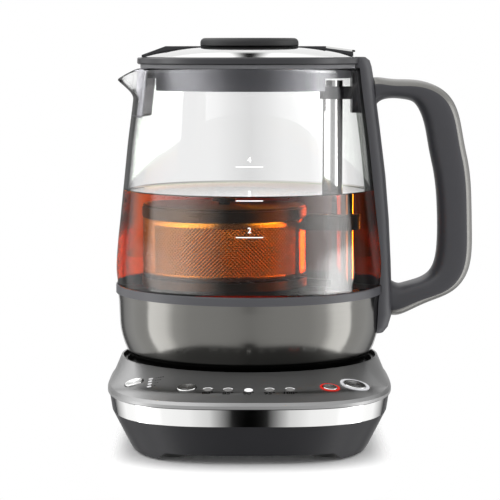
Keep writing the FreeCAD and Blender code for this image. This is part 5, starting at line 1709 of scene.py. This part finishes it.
    def world(self) -> None:
        """Light the object from soft boxes and flags, each kind of face by what it mirrors best."""
        world = bpy.data.worlds.new("studio")
        bpy.context.scene.world = world
        world.use_nodes = True
        tree = world.node_tree
        tree.nodes.clear()
        way = add_node(tree, "ShaderNodeTexCoord").outputs["Generated"]
        x, y, z = add_node(tree, "ShaderNodeSeparateXYZ", links={"Vector": way}).outputs
        turn = calculate(tree, "ARCTAN2", calculate(tree, "ABSOLUTE", x),
                         calculate(tree, "MULTIPLY", y, -1.0))
        bearing = calculate(tree, "DIVIDE", turn, math.pi)
        path = add_node(tree, "ShaderNodeLightPath").outputs

        right = remap(tree, x, self.sides_x)
        wet = calculate(tree, "GREATER_THAN", path["Transmission Depth"], self.tea_faces)
        in_jug = calculate(tree, "GREATER_THAN", path["Transmission Depth"], self.jug_faces)
        bounces = calculate(tree, "ADD", path["Glossy Depth"], path["Diffuse Depth"])
        once = calculate(tree, "GREATER_THAN", bounces, 0.5)
        twice = calculate(tree, "GREATER_THAN", bounces, 1.5)
        mirrored_twice = calculate(tree, "GREATER_THAN", path["Glossy Depth"], 1.5)
        from_glass = calculate(tree, "MULTIPLY", path["Is Singular Ray"], path["Is Reflection Ray"])

        # What glass and metal mirror outside the jug.
        in_glass = self.sided(tree, right, bearing, (self.glass_sees_left, self.glass_sees_right))
        in_glass = calculate(tree, "MULTIPLY", in_glass,
                             remap(tree, z, self.glass_z, (1.0, self.high_in_glass)))
        in_metal = calculate(tree, "MULTIPLY", self.mirrored(tree, x, z, bearing),
                             blend(tree, mirrored_twice, 1.0, self.second_mirror))
        # What things inside the jug and inside the tea mirror.
        in_tea = self.sided(tree, right, bearing, (self.tea_sees_left, self.tea_sees_right))
        in_tea = calculate(tree, "MULTIPLY", in_tea, remap(tree, z, self.tea_z, self.tea_depth))
        inside = blend(tree, wet, self.ring(tree, bearing, self.jug_sees), in_tea)
        inside = blend(tree, twice, blend(tree, in_jug, in_glass, inside), self.second_inside)
        # What shows straight through the jug.
        behind_tea = calculate(tree, "MULTIPLY", self.ring(tree, bearing, self.behind_tea),
                               blend(tree, right, self.behind_tea_left, 1.0))
        through = blend(tree, wet, self.ring(tree, bearing, self.behind), behind_tea)
        upright = remap(tree, calculate(tree, "ABSOLUTE", z), self.steep_z, (1.0, self.steep))
        through = calculate(tree, "MULTIPLY", through, upright)

        light = blend(tree, from_glass, in_metal, in_glass)
        light = blend(tree, path["Is Diffuse Ray"], light, remap(tree, z, self.ambient_z, self.ambient))
        light = blend(tree, path["Is Transmission Ray"], light, blend(tree, once, through, inside))
        light = blend(tree, path["Is Camera Ray"], light, 1.0)
        warm = calculate(tree, "MULTIPLY", wet,
                         calculate(tree, "MULTIPLY", once, path["Is Transmission Ray"]))
        colour = two_tone(tree, warm, WHITE, self.warmth)
        sky = add_node(tree, "ShaderNodeBackground", links={"Color": colour, "Strength": light})
        add_node(tree, "ShaderNodeOutputWorld", links={"Surface": sky.outputs[0]})

    def floor(self) -> None:
        """Lay the pale floor."""
        half = self.floor_half
        mesh = bpy.data.meshes.new("floor")
        mesh.from_pydata([(-half, -half, 0), (half, -half, 0), (half, half, 0), (-half, half, 0)], [],
                         [(0, 1, 2, 3)])
        floor = bpy.data.objects.new("floor", mesh)
        bpy.context.scene.collection.objects.link(floor)
        mesh.materials.append(PaperSweep("paper_white_matt", "#fdfdfd").material())

    def lamp(self, name: str, place: Point, size: Range, power: float) -> None:
        """Hang a soft box that points at the middle of the object.

        Args:
            name: its name.
            place: where it hangs.
            size: its width and height.
            power: in watts.
        """
        light = bpy.data.lights.new(name, "AREA")
        light.shape = "RECTANGLE"
        light.size, light.size_y = size
        light.energy = power
        lamp = bpy.data.objects.new(name, light)
        lamp.location = place
        aim = Vector(self.lamp_aim) - Vector(place)
        lamp.rotation_euler = aim.to_track_quat("-Z", "Y").to_euler()
        lamp.visible_camera = False
        lamp.visible_glossy = False
        lamp.visible_transmission = False
        bpy.context.scene.collection.objects.link(lamp)

    def build(self) -> None:
        """Set up the camera, the light and the floor."""
        bpy.context.scene.view_settings.view_transform = "Standard"
        self.camera()
        self.world()
        self.floor()
        self.lamp("soft_box_top", (0.0, 0.1, 1.4), (1.2, 1.2), 4.0)


def main() -> None:
    """Dress the tea maker and light it."""
    logging.basicConfig(level=logging.INFO, format="%(name)s %(message)s", stream=sys.stdout)
    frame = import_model()
    Studio().build()
    PowerBase(Deck()).build(frame)
    glass = GlassJug()
    glass.build()
    JugBody(glass).build(frame)
    Basket().build(frame)
    Handle().build(frame)
    Lid().build(frame)


if __name__ == "__main__":
    main()
